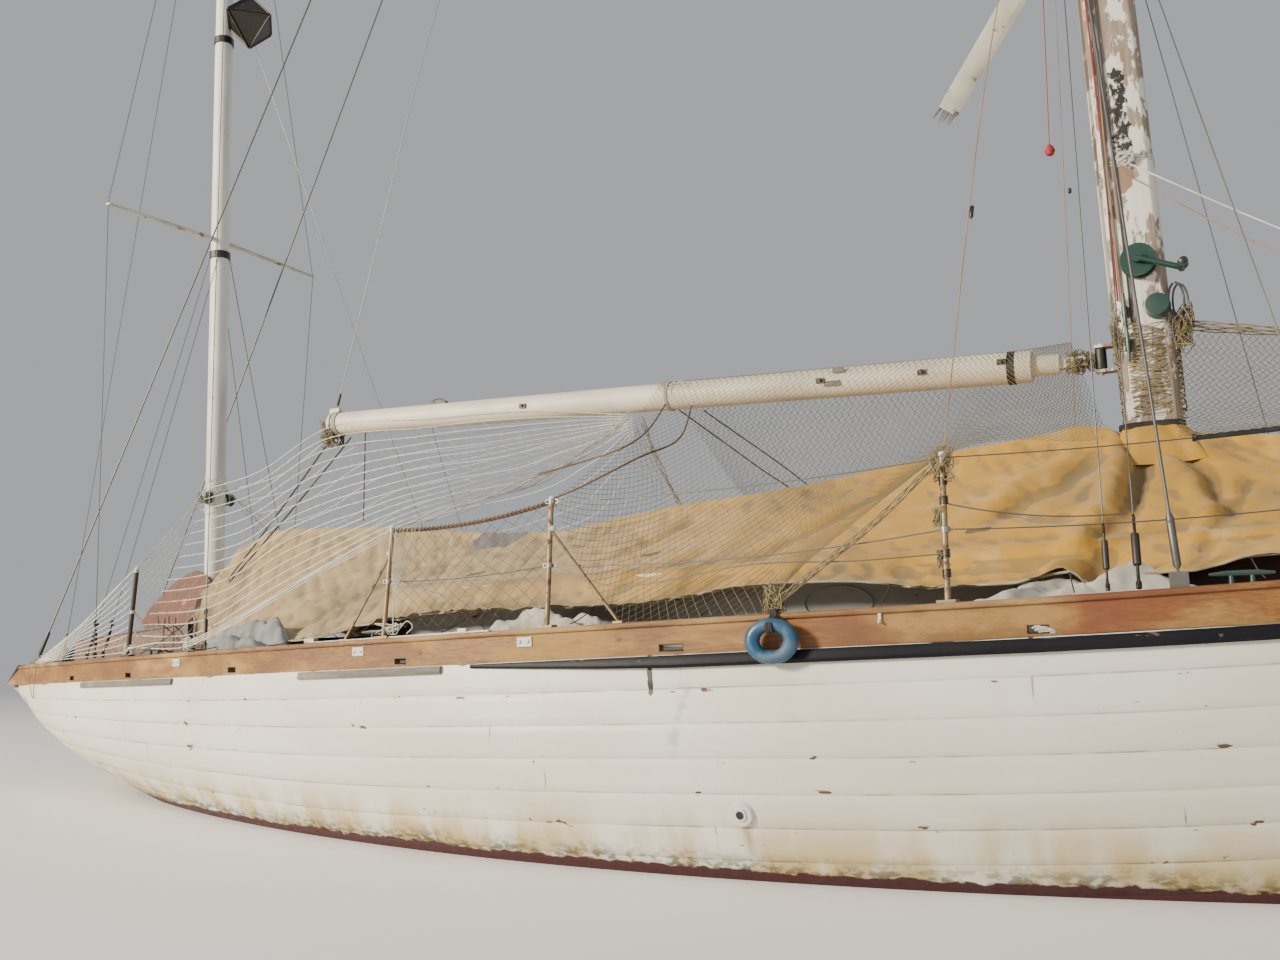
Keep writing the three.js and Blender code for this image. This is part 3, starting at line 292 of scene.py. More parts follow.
@dataclass(frozen=True)
class HullPaint(Finish):
    """White paint on carvel planks, with open seams, chips, a scum line and antifouling below it."""

    white: Colour = (0.70, 0.69, 0.62)
    aged: Colour = (0.57, 0.53, 0.41)
    stain: Colour = (0.47, 0.33, 0.11)
    scum: Colour = (0.075, 0.06, 0.018)
    antifouling: Colour = (0.045, 0.007, 0.008)
    wood: Colour = (0.10, 0.05, 0.028)
    seam: Colour = (0.10, 0.072, 0.05)
    strip_top: float = 0.035
    scum_top: float = 0.16
    stain_top: float = 0.42
    butt_every: float = 3.4

    def paint(self, s: Shader) -> None:
        """Fills the material's node tree.

        Args:
            s: the material's shader.
        """
        row = s.attribute("strake")
        seam = abs(row.part() - 0.5) * -1.0 + 0.5
        broad = s.noise(0.8, 4, (1, 1, 2.2))
        fine = s.noise(16, 6, shift=3)
        cracked = s.noise(1.1, 3, (1, 1, 3), shift=9).rise(0.4, 0.62)
        broken = s.noise(11, 3, (1, 1, 3), shift=36).rise(0.35, 0.6)
        line = seam.rise(0.036, 0.008) * (0.25 + 0.75 * cracked * broken)
        butt_at = (s.x / self.butt_every + s.chance(row.whole())).part()
        butt = abs(butt_at - 0.5).rise(0.0016, 0.0004) * s.noise(9, 3, shift=4).rise(0.45, 0.6)
        near_seam = seam.rise(0.2, 0.02)
        chips = s.noise(9, 5, (1, 1, 2.6), shift=21).rise(0.66, 0.7) * (0.25 + 0.75 * near_seam)
        flaking = s.noise(0.9, 2, shift=31).rise(0.5, 0.62)
        flakes = s.noise(30, 4, (1, 1, 2), shift=5).rise(0.7, 0.74) * flaking
        edge = s.noise(2.2, 5, (1, 1, 0.6), shift=7) * 0.11
        height = s.z - edge + 0.055
        streaks = s.noise(6, 4, (1, 1, 0.07), shift=13)
        yellow = height.rise(self.stain_top, 0.06) * streaks.rise(0.33, 0.62)
        drip = streaks.rise(0.57, 0.72) * s.z.rise(0.2, 0.9) * 0.5
        rub = s.near((-0.33, 0.56), (-0.25, 0.86), 0.05) * s.noise(22, 3, shift=2).rise(0.4, 0.62)
        gash = (s.near((-0.43, 0.81), (-0.44, 0.99), 0.03) + s.noise(30, 4, shift=33) * 1.2).rise(1.2, 1.3)
        rust = s.near((-0.03, 0.29), (-0.01, 0.14), 0.045) * streaks.rise(0.35, 0.6)
        speckle = s.noise(24, 5, (1, 1, 1.8), shift=19).rise(0.42, 0.56)
        slime = height.rise(self.scum_top, 0.04) * s.noise(7, 5, (1, 1, 2), shift=17).rise(0.3, 0.5)
        slime = slime * (0.3 + 0.7 * speckle)
        strip = s.z - edge * 0.35 - s.noise(15, 5, (1, 1, 1.6), shift=27) * 0.05 + 0.025
        flake = chips + flakes
        colour = s.coats(
            self.white, (broad.rise(0.35, 0.68) * 0.55, self.aged), (drip * 0.6, self.aged),
            (yellow * 0.85, self.stain), (line * 0.62, self.seam), (butt * 0.7, self.seam),
            (rub * 0.5, (0.26, 0.26, 0.25)), (flake.rise(0.3, 0.8), self.wood),
            (rust * 0.8, (0.22, 0.075, 0.02)), (slime * 0.9, self.scum),
            (strip.rise(self.strip_top, self.strip_top - 0.01), self.antifouling),
            (gash, (0.02, 0.018, 0.015)))
        lift = s.noise(5, 5, shift=40) * 0.0016 + fine * 0.0004 - flake * 0.0007
        lift = lift - line * 0.0009 - gash * 0.003 - butt * 0.001
        s.surface(colour, 0.38 + fine * 0.2 + flake * 0.2 + slime * 0.2, lift)


@dataclass(frozen=True)
class Timber(Finish):
    """Varnished or bare wood with its grain along one axis."""

    light: Colour
    dark: Colour
    bare: Colour
    wear: float = 0.4
    gloss: float = 0.42
    along: Point = (1.0, 14.0, 14.0)
    red_from: float | None = None
    red: Colour = (0.17, 0.045, 0.016)

    def paint(self, s: Shader) -> None:
        """Fills the material's node tree.

        Args:
            s: the material's shader.
        """
        warp = s.noise(1.6, 3, self.along, shift=6)
        grain = s.noise(6.5, 7, self.along, rough=0.62)
        rings = abs((warp * 9.0 + grain * 1.4).part() - 0.5) * 2.0
        patches = s.noise(1.9, 5, (0.8, 2.4, 2.4), shift=11)
        worn = patches.rise(0.62 - 0.22 * self.wear, 0.72 - 0.16 * self.wear) * self.wear
        pores = s.noise(34, 4, self.along, shift=2).rise(0.56, 0.72)
        spots = s.noise(11, 5, (1, 1.6, 1.6), shift=23).rise(0.68, 0.76)
        stained = s.noise(3.4, 6, (0.7, 2.2, 2.2), shift=31, rough=0.6).rise(0.46, 0.62)
        colour = s.mix(rings * 0.55 + grain * 0.45, self.light, self.dark)
        if self.red_from is not None:
            forward = s.x.rise(self.red_from, self.red_from + 1.3)
            colour = s.mix(forward * s.noise(1.4, 4, (1, 2, 2), shift=8).rise(0.3, 0.62), colour, self.red)
        colour = s.coats(colour, (worn, self.bare), (stained * 0.6, shade(self.dark, 1.15)),
                         (pores * 0.35, shade(self.dark, 0.45)), (spots * 0.75, (0.03, 0.018, 0.012)))
        lift = grain * 0.0011 - pores * 0.0004 - worn * 0.0005
        s.surface(colour, self.gloss + worn * 0.4 + grain * 0.15, lift)


@dataclass(frozen=True)
class Paint(Finish):
    """Paint with chips through to what is under it, and dirt."""

    colour: Colour
    under: Colour
    chips: float = 0.25
    dirt: float = 0.3
    dirty: Colour = (0.12, 0.10, 0.07)
    gloss: float = 0.45
    stretch: Point = (1, 1, 1)
    scale: float = 7.0
    shine: float = 0.5
    forward: tuple[float, Colour] | None = None

    def paint(self, s: Shader) -> None:
        """Fills the material's node tree.

        Args:
            s: the material's shader.
        """
        patch = s.noise(self.scale, 6, self.stretch, rough=0.6)
        level = 0.74 - 0.24 * self.chips
        bare = patch.rise(level, level + 0.03)
        grime = s.noise(2.3, 5, self.stretch, shift=14).rise(0.42, 0.72)
        fine = s.noise(42, 5, self.stretch, shift=3)
        tone = s.noise(1.2, 3, shift=30).rise(0.3, 0.7)
        colour = s.mix(tone * 0.3, self.colour, shade(self.colour, 0.8))
        if self.forward is not None:
            colour = s.mix(s.x.rise(self.forward[0], self.forward[0] + 0.01), colour, self.forward[1])
        colour = s.mix(grime * self.dirt, colour, self.dirty)
        under = s.mix(fine.rise(0.35, 0.65), self.under, shade(self.under, 0.5))
        colour = s.mix(bare, colour, under)
        lift = fine * 0.0004 - bare * 0.0006 + patch * 0.0004
        s.surface(colour, self.gloss + bare * 0.35 + fine * 0.12, lift, Specular_IOR_Level=self.shine)


@dataclass(frozen=True)
class MastPaint(Finish):
    """White paint peeling off a grey-brown wooden mast, with a plank seam and a charred patch."""

    white: Colour = (0.66, 0.63, 0.55)
    bare: Colour = (0.22, 0.15, 0.10)
    grey: Colour = (0.27, 0.24, 0.20)
    char_at: Point = (1.62, 3.72)
    patch_at: Point = (1.60, 3.33)

    def paint(self, s: Shader) -> None:
        """Fills the material's node tree.

        Args:
            s: the material's shader.
        """
        flake = s.noise(7.5, 7, (1.5, 1.5, 0.55), rough=0.66)
        high = s.z.rise(3.2, 4.6)
        low = s.z.rise(2.75, 2.45)
        peeled = (flake + high * 0.085 + low * 0.07).rise(0.525, 0.56)
        wood = s.noise(9, 6, (9, 9, 0.5), shift=5)
        streak = s.noise(5, 5, (5, 5, 0.3), shift=15).rise(0.5, 0.72)
        seam = abs(s.y + 0.018).rise(0.0035, 0.001) * s.x.rise(0.2, 1.6)
        ragged = s.noise(24, 6, (1, 1, 0.6), shift=33, rough=0.75) - 0.5
        x, z = self.char_at
        charred = s.near((x, z - 0.2), (x, z + 0.24), 0.1)
        charred = (charred + ragged * 4.2).rise(0.72, 0.82) * charred.rise(0.02, 0.2)
        x, z = self.patch_at
        brown = s.near((x, z), (x, z + 0.08), 0.085)
        brown = (brown + ragged * 1.6).rise(0.34, 0.44)
        timber = s.mix(wood.rise(0.32, 0.68), self.grey, self.bare)
        colour = s.coats(self.white, (streak * 0.35, (0.36, 0.33, 0.27)), (peeled, timber),
                         (brown, (0.24, 0.155, 0.10)), (charred, (0.012, 0.011, 0.010)),
                         (seam * 0.85, (0.05, 0.035, 0.025)))
        relief = wood * 0.0009 - peeled * 0.0012 - seam * 0.002 + s.noise(20, 5, shift=8) * 0.0005
        s.surface(colour, 0.5 + peeled * 0.3, relief)


@dataclass(frozen=True)
class Metal(Finish):
    """Metal with rust or tarnish."""

    colour: Colour
    rust: Colour = (0.16, 0.055, 0.02)
    rusted: float = 0.3
    roughness: float = 0.35

    def paint(self, s: Shader) -> None:
        """Fills the material's node tree.

        Args:
            s: the material's shader.
        """
        patch = s.noise(22, 6, rough=0.65)
        level = 0.72 - 0.28 * self.rusted
        rust = patch.rise(level, level + 0.12)
        fine = s.noise(140, 3, shift=4)
        colour = s.mix(patch.rise(0.3, 0.7) * 0.35, self.colour, shade(self.colour, 0.55))
        colour = s.mix(rust, colour, self.rust)
        lift = fine * 0.00015 + rust * 0.0003
        s.surface(colour, self.roughness + rust * 0.45 + fine * 0.1, lift, Metallic=1.0 - rust)


@dataclass(frozen=True)
class Canvas(Finish):
    """Faded proofed canvas: strong yellow forward, beige aft, blotched with dirt, and darkened in its folds
    as painted shade.
    """

    yellow: Colour = (0.52, 0.28, 0.028)
    beige: Colour = (0.36, 0.255, 0.125)
    # The dirt colour is also used as the painted shade in the folds.
    dirt: Colour = (0.15, 0.115, 0.06)
    fade_from: float = -2.4
    fade_to: float = 0.9
    patch: tuple[Point, Point] = ((-2.52, 1.74), (-2.25, 1.76))
    tears: tuple[Point, ...] = ((0.88, 1.52), (-2.1, 1.46), (-0.91, 1.51))

    def paint(self, s: Shader) -> None:
        """Fills the material's node tree.

        Args:
            s: the material's shader.
        """
        # How far each point is sunk in the folds, read for painted shade.
        fold_shade = s.attribute("fold_shade")
        drift = s.noise(0.9, 4, shift=2) * 2.2 - 1.1
        forward = (s.x + drift).rise(self.fade_from, self.fade_to)
        mottled = s.noise(5.5, 6, shift=12, rough=0.62)
        blotch = s.noise(1.5, 5, (1, 1, 1.3), shift=20).rise(0.5, 0.68)
        weave = s.sine(s.x * 2600.0) * s.sine((s.z + s.y * 0.6) * 2600.0)
        colour = s.coats(
            self.beige, (forward, self.yellow), (mottled.rise(0.5, 0.72) * 0.35, (0.62, 0.48, 0.26)),
            (mottled.rise(0.46, 0.28) * 0.4, self.dirt),
            # Painted shade: points sunk in the folds are darkened towards the dirt colour, on top of the
            # real dirt blotches.
            (blotch * 0.35 + fold_shade.rise(0.1, 0.9) * 0.5, self.dirt),
            (s.near(*self.patch, 0.16).rise(0.45, 0.55) * 0.85, (0.10, 0.105, 0.12)))
        for x, z in self.tears:
            tear = s.near((x - 0.05, z), (x + 0.05, z + 0.012), 0.03) + s.noise(40, 3, shift=9) * 0.8
            colour = s.mix(tear.rise(1.0, 1.15) * 0.8, colour, (0.04, 0.03, 0.018))
        s.surface(colour, 0.86, mottled * 0.0016 + weave * 0.00006, Sheen_Weight=0.15)


@dataclass(frozen=True)
class Cloth(Finish):
    """Plain woven cloth of one colour."""

    colour: Colour
    dirt: float = 0.4

    def paint(self, s: Shader) -> None:
        """Fills the material's node tree.

        Args:
            s: the material's shader.
        """
        mottled = s.noise(9, 5, shift=3)
        weave = s.sine(s.x * 2000.0) * s.sine(s.z * 2000.0)
        colour = s.mix(mottled.rise(0.4, 0.7) * self.dirt, self.colour, shade(self.colour, 0.35))
        s.surface(colour, 0.9, mottled * 0.002 + weave * 0.00008, Sheen_Weight=0.2)


@dataclass(frozen=True)
class Rope(Finish):
    """Laid rope or twine: strands winding round, and dirt along its length."""

    colour: Colour
    dark: Colour
    pitch: float = 420.0
    relief: float = 0.0006

    def paint(self, s: Shader) -> None:
        """Fills the material's node tree.

        Args:
            s: the material's shader.
        """
        lay = s.sine((s.x + s.y * 0.8 + s.z) * self.pitch) * 0.5 + 0.5
        dirty = s.noise(6, 4, shift=5).rise(0.4, 0.68)
        fuzz = s.noise(90, 3, shift=1)
        colour = s.mix(lay * 0.25 + dirty * 0.6, self.colour, self.dark)
        s.surface(colour, 0.82 + fuzz * 0.1, lay * self.relief)


@dataclass(frozen=True)
class Plastic(Finish):
    """Coloured plastic, chalky where the weather has had it."""

    colour: Colour
    chalk: float = 0.3

    def paint(self, s: Shader) -> None:
        """Fills the material's node tree.

        Args:
            s: the material's shader.
        """
        faded = s.noise(13, 5, shift=3).rise(0.4, 0.7)
        scratch = s.noise(60, 4, (1, 1, 5), shift=9).rise(0.62, 0.7)
        pale = tuple(min(1.0, c * 0.7 + 0.16) for c in self.colour)
        colour = s.mix(faded * self.chalk, self.colour, pale)
        colour = s.mix(scratch * 0.4, colour, (0.05, 0.05, 0.05))
        s.surface(colour, 0.36 + faded * 0.3, faded * 0.0003 - scratch * 0.0003)


@dataclass(frozen=True)
class Decking(Finish):
    """Laid deck: bare planks fore and aft with dark seams."""

    teak: Colour = (0.26, 0.21, 0.15)
    seam: Colour = (0.03, 0.03, 0.028)
    plank: float = 0.052

    def paint(self, s: Shader) -> None:
        """Fills the material's node tree.

        Args:
            s: the material's shader.
        """
        row = s.y / self.plank
        caulk = (0.5 - abs(row.part() - 0.5)).rise(0.075, 0.03)
        tone = s.chance(row.whole())
        grain = s.noise(8, 6, (1, 16, 16))
        colour = s.mix(tone * 0.5 + grain * 0.5, self.teak, shade(self.teak, 0.6))
        colour = s.mix(caulk, colour, self.seam)
        s.surface(colour, 0.72 + grain * 0.15, grain * 0.0006 - caulk * 0.001)


WHITE_PLANKS = HullPaint("white_planks")
VARNISH = Timber("weathered_varnish", (0.33, 0.15, 0.026), (0.11, 0.043, 0.010), (0.38, 0.23, 0.07),
                 wear=0.7, red_from=-0.4)
CAP_VARNISH = Timber("cap_varnish", (0.29, 0.135, 0.033), (0.105, 0.042, 0.012), (0.36, 0.23, 0.092),
                     wear=0.85, red_from=0.1)
BOARD_VARNISH = Timber("board_varnish", (0.15, 0.036, 0.004), (0.07, 0.015, 0.003), (0.17, 0.06, 0.018),
                       wear=0.2, gloss=0.55)
MAHOGANY = Timber("mahogany", (0.12, 0.032, 0.014), (0.06, 0.015, 0.008), (0.17, 0.085, 0.05), wear=0.5)
PINK_WOOD = Timber("pink_wood", (0.21, 0.14, 0.11), (0.14, 0.09, 0.068), (0.25, 0.185, 0.15),
                   wear=0.6, gloss=0.8)
GREY_WOOD = Timber("grey_wood", (0.22, 0.20, 0.165), (0.11, 0.10, 0.08), (0.3, 0.28, 0.24), wear=0.5,
                   gloss=0.8)
BLACK_STRAKE = Paint("black_strake", (0.005, 0.005, 0.009), (0.11, 0.105, 0.10), chips=0.4, dirt=0.06,
                     shine=0.2, stretch=(0.7, 2, 2), scale=9)
NAVY = Paint("navy_paint", (0.012, 0.02, 0.05), (0.17, 0.15, 0.12), chips=0.45)
CABIN_GREY = Paint("cabin_grey", (0.36, 0.35, 0.32), (0.12, 0.05, 0.03), chips=0.3, dirt=0.4,
                   stretch=(0.6, 2, 2), forward=(1.62, (0.085, 0.022, 0.016)))
CREAM = Paint("cream_paint", (0.68, 0.62, 0.50), (0.20, 0.12, 0.07), chips=0.18, dirt=0.35,
              stretch=(0.6, 2, 2))
MIZZEN_WHITE = Paint("mizzen_white", (0.66, 0.65, 0.60), (0.28, 0.25, 0.2), chips=0.22, dirt=0.35,
                     stretch=(3, 3, 0.5))
SPREADER_WHITE = Paint("spreader_white", (0.50, 0.48, 0.40), (0.22, 0.20, 0.15), chips=0.5, dirt=0.5,
                       scale=12)
MAST_WHITE = MastPaint("mast_white")
GREEN = Paint("green_enamel", (0.010, 0.042, 0.034), (0.12, 0.09, 0.065), chips=0.35, gloss=0.35,
              scale=30)
ANTIFOULING = Paint("antifouling", (0.085, 0.016, 0.012), (0.05, 0.05, 0.025), chips=0.5, dirt=0.5,
                    gloss=0.75)
BALLAST_IRON = Metal("ballast_iron", (0.10, 0.07, 0.055), rusted=0.9, roughness=0.7)
STEEL = Metal("steel", (0.42, 0.41, 0.38), rusted=0.45)
BROWNED_STEEL = Metal("browned_steel", (0.34, 0.26, 0.16), rust=(0.12, 0.06, 0.028), rusted=0.75,
                      roughness=0.5)
DARK_STEEL = Metal("dark_steel", (0.07, 0.065, 0.06), rusted=0.5, roughness=0.5)
WIRE = Metal("wire", (0.16, 0.155, 0.145), rusted=0.35, roughness=0.45)
BRONZE = Metal("bronze", (0.32, 0.19, 0.07), rust=(0.07, 0.13, 0.09), rusted=0.6, roughness=0.4)
BLUE_PLASTIC = Plastic("blue_plastic", (0.006, 0.06, 0.125))
WHITE_PLASTIC = Plastic("white_plastic", (0.6, 0.58, 0.52), chalk=0.2)
RED_PLASTIC = Plastic("red_plastic", (0.35, 0.012, 0.02))
BLACK_RUBBER = Plastic("black_rubber", (0.012, 0.012, 0.013), chalk=0.08)
CANVAS = Canvas("canvas")
GREY_CLOTH = Cloth("grey_cloth", (0.23, 0.235, 0.235))
PALE_CLOTH = Cloth("pale_cloth", (0.47, 0.44, 0.38))
NAVY_CLOTH = Cloth("navy_cloth", (0.02, 0.028, 0.05), dirt=0.2)
WHITE_ROPE = Rope("white_rope", (0.62, 0.60, 0.54), (0.35, 0.32, 0.26))
DARK_ROPE = Rope("dark_rope", (0.06, 0.05, 0.045), (0.025, 0.022, 0.02))
TAN_ROPE = Rope("tan_rope", (0.34, 0.22, 0.12), (0.18, 0.11, 0.06))
RED_ROPE = Rope("red_rope", (0.30, 0.035, 0.03), (0.14, 0.025, 0.022))
PALE_ROPE = Rope("pale_rope", (0.44, 0.38, 0.26), (0.24, 0.19, 0.11))
BROWN_ROPE = Rope("brown_rope", (0.15, 0.085, 0.045), (0.055, 0.035, 0.022))
WHITE_TWINE = Rope("white_twine", (0.72, 0.70, 0.64), (0.55, 0.51, 0.42), relief=0.0)
DARK_TWINE = Rope("dark_twine", (0.13, 0.10, 0.06), (0.05, 0.04, 0.03), relief=0.0)
OLIVE_TWINE = Rope("olive_twine", (0.27, 0.22, 0.115), (0.12, 0.10, 0.055), relief=0.0)
TEAK_DECK = Decking("teak_deck")


def unit(vector: Point) -> np.ndarray:
    """A vector at length 1."""
    array = np.asarray(vector, float)
    return array / max(float(np.linalg.norm(array)), 1e-12)


def square_to(along: Point) -> tuple[np.ndarray, np.ndarray]:
    """Two unit vectors square to a direction and to each other.

    Args:
        along: the direction.

    Returns:
        The two vectors.
    """
    axis = unit(along)
    first = unit(np.cross(axis, np.eye(3)[int(np.argmin(np.abs(axis)))]))
    return first, np.cross(axis, first)


def distances(line: np.ndarray) -> np.ndarray:
    """How far along a line each of its points lies."""
    return np.concatenate([[0], np.cumsum(np.linalg.norm(np.diff(line, axis=0), axis=1))])


def read_at(at: np.ndarray, far: np.ndarray, line: np.ndarray) -> np.ndarray:
    """The points of a line at the distances asked for, given the distance of each of its own points."""
    return np.stack([np.interp(at, far, column) for column in line.T], axis=1)


def quads(n: int, m: int, looped: bool = False, ringed: bool = False) -> list[list[int]]:
    """Faces of a grid of n rows of m corners.

    Args:
        n: rows.
        m: corners in a row.
        looped: joins the last row to the first.
        ringed: joins each row's end to its start.

    Returns:
        The faces.
    """
    rows = [(i * m, (i + 1) % n * m) for i in range(n if looped else n - 1)]
    columns = [(k, (k + 1) % m) for k in range(m if ringed else m - 1)]
    return [[a + k, a + j, b + j, b + k] for a, b in rows for k, j in columns]


def smooth_path(points: Sequence[Point], steps: int = 6) -> np.ndarray:
    """A smooth line through points.

    Args:
        points: where the line passes.
        steps: points made for each stretch.

    Returns:
        The line's points.
    """
    p = np.asarray(points, float)
    padded = np.vstack([2 * p[0] - p[1], p, 2 * p[-1] - p[-2]])
    t = (np.arange(steps) / steps)[:, None]
    made = []
    for a, b, c, d in zip(padded, padded[1:], padded[2:], padded[3:]):
        curve = 2 * b + (c - a) * t + (2 * a - 5 * b + 4 * c - d) * t ** 2
        made.append((curve + (3 * b - a - 3 * c + d) * t ** 3) / 2)
    return np.vstack([*made, p[-1:]])


def hanging(a: Point, b: Point, sag: float, steps: int = 14) -> np.ndarray:
    """A line held at both ends that sags between them.

    Args:
        a: one end.
        b: the other end.
        sag: how far its middle hangs below the straight line.
        steps: stretches of the line.

    Returns:
        The line's points.
    """
    t = np.linspace(0, 1, steps + 1)[:, None]
    line = np.asarray(a, float) * (1 - t) + np.asarray(b, float) * t
    line[:, 2] -= (4 * sag * t * (1 - t))[:, 0]
    return line


def boom_axis(x: float) -> np.ndarray:
    """The point of the boom's axis at x."""
    return np.array([x, 0.0, 2.705 - 0.245 * (x + 3.93) / 4.995])


def drawn(*ranges: tuple[float, float]) -> list[float]:
    """One random number from each range."""
    return [RNG.uniform(low, high) for low, high in ranges]


def round_trip(count: int) -> np.ndarray:
    """Angles evenly round a circle, from nought."""
    return np.linspace(0, 2 * math.pi, count, endpoint=False)


def squared(angle: float, power: float) -> tuple[float, float]:
    """A point on a circle pulled out towards a square, the more the lower the power."""
    return tuple(math.copysign(abs(value) ** power, value) for value in (math.cos(angle), math.sin(angle)))


class Shape:
    """Corners and faces gathered into one mesh."""

    def __init__(self) -> None:
        """Starts with nothing."""
        self.corners: list[np.ndarray] = []
        self.faces: list[list[int]] = []
        self.count = 0

    def add(self, corners: Iterable[Point], faces: Iterable[Sequence[int]]) -> "Shape":
        """Adds corners and the faces between them.

        Args:
            corners: the new corners.
            faces: faces by the corners' numbers, from 0.

        Returns:
            The shape itself.
        """
        block = np.asarray(list(corners), float).reshape(-1, 3)
        self.corners.append(block)
        self.faces.extend([i + self.count for i in face] for face in faces)
        self.count += len(block)
        return self

    def tube(self, path: Sequence[Point], radius: float | Sequence[float], sides: int = 8,
             loop: bool = False, capped: bool = True, axis: Point | None = None) -> "Shape":
        """A round tube along a path.

        Args:
            path: the points of its middle line.
            radius: one radius, or one for each point.
            sides: sides of the section.
            loop: joins the end to the start.
            capped: closes both ends.
            axis: the direction at every point, or None to take it from the path.

        Returns:
            The shape itself.
        """
        p = np.asarray(path, float)
        n = len(p)
        r = np.broadcast_to(np.asarray(radius, float), (n,))
        if axis is not None:
            along = np.tile(unit(axis), (n, 1))
        else:
            ends = np.pad(p, ((1, 1), (0, 0)), "wrap" if loop else "edge")
            along = ends[2:] - ends[:-2]
            along /= np.maximum(np.linalg.norm(along, axis=1, keepdims=True), 1e-12)
        u = square_to(along[0])[0]
        turn = np.arange(sides) * 2 * math.pi / sides
        rings = []
        for i in range(n):
            u = unit(u - along[i] * float(u @ along[i]))
            v = np.cross(along[i], u)
            rings.append(p[i] + r[i] * (np.outer(np.cos(turn), u) + np.outer(np.sin(turn), v)))
        faces = quads(n, sides, loop, ringed=True)
        if capped and not loop:
            faces += [list(range(sides))[::-1], [(n - 1) * sides + k for k in range(sides)]]
        return self.add(np.vstack(rings), faces)

    def line(self, points: Sequence[Point], radius: float, steps: int = 6, sides: int = 6) -> "Shape":
        """A tube smoothly through points."""
        return self.tube(smooth_path(points, steps), radius, sides)

    def block(self, centre: Point, size: Point, along: Point = (1, 0, 0), up: Point = (0, 0, 1)) -> "Shape":
        """A box turned to two directions.

        Args:
            centre: its middle.
            size: length, width and height.
            along: where its length points.
            up: where its height points, roughly.

        Returns:
            The shape itself.
        """
        a = unit(along)
        c = unit(np.asarray(up, float) - a * float(np.dot(up, a)))
        b = np.cross(c, a)
        corners = [np.asarray(centre) + (a * x * size[0] + b * y * size[1] + c * z * size[2]) / 2
                   for x in (-1, 1) for y in (-1, 1) for z in (-1, 1)]
        faces = [[0, 1, 3, 2], [4, 6, 7, 5], [0, 4, 5, 1], [2, 3, 7, 6], [0, 2, 6, 4], [1, 5, 7, 3]]
        return self.add(corners, faces)

    def turned(self, centre: Point, along: Point, profile: Sequence[tuple[float, float]],
               sides: int = 16) -> "Shape":
        """A turned shape.

        Args:
            centre: the point where its axis starts.
            along: the axis.
            profile: distance along the axis and radius, from end to end.
            sides: sides of the section.

        Returns:
            The shape itself.
        """
        path = [np.asarray(centre, float) + unit(along) * far for far, _ in profile]
        return self.tube(path, [radius for _, radius in profile], sides, axis=along)

    def ring(self, centre: Point, axis: Point, radius: float, thick: float, stretch: float = 1.0,
             sides: int = 8) -> "Shape":
        """A closed ring of round bar.

        Args:
            centre: its middle.
            axis: the axis that it goes round.
            radius: to the middle of the bar.
            thick: the bar's radius.
            stretch: how much longer it is one way.
            sides: sides of the bar.

        Returns:
            The shape itself.
        """
        u, v = square_to(axis)
        turn = round_trip(22)
        way = np.outer(np.cos(turn) * stretch, u) + np.outer(np.sin(turn), v)
        path = np.asarray(centre) + radius * way
        return self.tube(path, thick, sides, loop=True)

    def lashing(self, centre: Point, along: Point, radius: float, cord: float, turns: int) -> "Shape":
        """Turns of cord round a spar or post.

        Args:
            centre: the middle of the lashing.
            along: the spar's direction.
            radius: the spar's radius.
            cord: the cord's radius.
            turns: how many turns.

        Returns:
            The shape itself.
        """
        u, v = square_to(along)
        turn = np.linspace(0, turns * 2 * math.pi, turns * 14 + 1)
        lift = (turn / (2 * math.pi) - turns / 2) * cord * 2.3
        wobble = radius + cord + 0.15 * cord * np.sin(turn * 3.3)
        path = (np.asarray(centre) + np.outer(np.cos(turn) * wobble, u) + np.outer(np.sin(turn) * wobble, v)
                + np.outer(lift, unit(along)))
        return self.tube(path, cord, 6)

    def made(self, name: str, finish: Finish, body: str | None = HULL,
             angle: float = 40.0) -> bpy.types.Object:
        """Makes the mesh object.

        Args:
            name: the piece's name.
            finish: its finish.
            body: the body that it rides on, or None where the caller says.
            angle: edges sharper than this, in degrees, stay sharp.

        Returns:
            The object.
        """
        mesh = bpy.data.meshes.new(name)
        mesh.from_pydata(np.vstack(self.corners).tolist(), [], self.faces)
        mesh.validate()
        mesh.materials.append(finish.material())
        mesh.shade_smooth()
        mesh.set_sharp_from_angle(angle=math.radians(angle))
        made = bpy.data.objects.new(name, mesh)
        bpy.context.scene.collection.objects.link(made)
        if body is not None:
            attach(made, body)
        LOG.info("piece %s: %d faces", name, len(mesh.polygons))
        return made


class Caster:
    """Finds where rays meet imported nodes."""

    def __init__(self, *names: str) -> None:
        """Gathers the nodes of those names."""
        corners: list[Vector] = []
        faces: list[list[int]] = []
        for name in names:
            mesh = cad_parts[name].data
            first = len(corners)
            corners += [v.co.copy() for v in mesh.vertices]
            faces += [[i + first for i in p.vertices] for p in mesh.polygons]
        self.tree = BVHTree.FromPolygons(corners, faces)

    def meet(self, start: Point, towards: Point) -> np.ndarray | None:
        """The first point that a ray meets, or None."""
        hit = self.tree.ray_cast(Vector(start), Vector(towards).normalized())[0]
        return None if hit is None else np.array(hit)

    def clear(self, point: np.ndarray, gap: float, reach: float = 0.12) -> np.ndarray:
        """The point, moved out of the nodes where it is inside them or nearer than the gap.

        Args:
            point: a point.
            gap: how far it has to stay from the nodes.
            reach: how far the nodes are looked for.

        Returns:
            The point, moved or not.
        """
        place, normal, _, _ = self.tree.find_nearest(Vector(point), reach)
        if place is None:
            return point
        above = (Vector(point) - place).dot(normal)
        return point + np.array(normal) * max(0.0, gap - above)


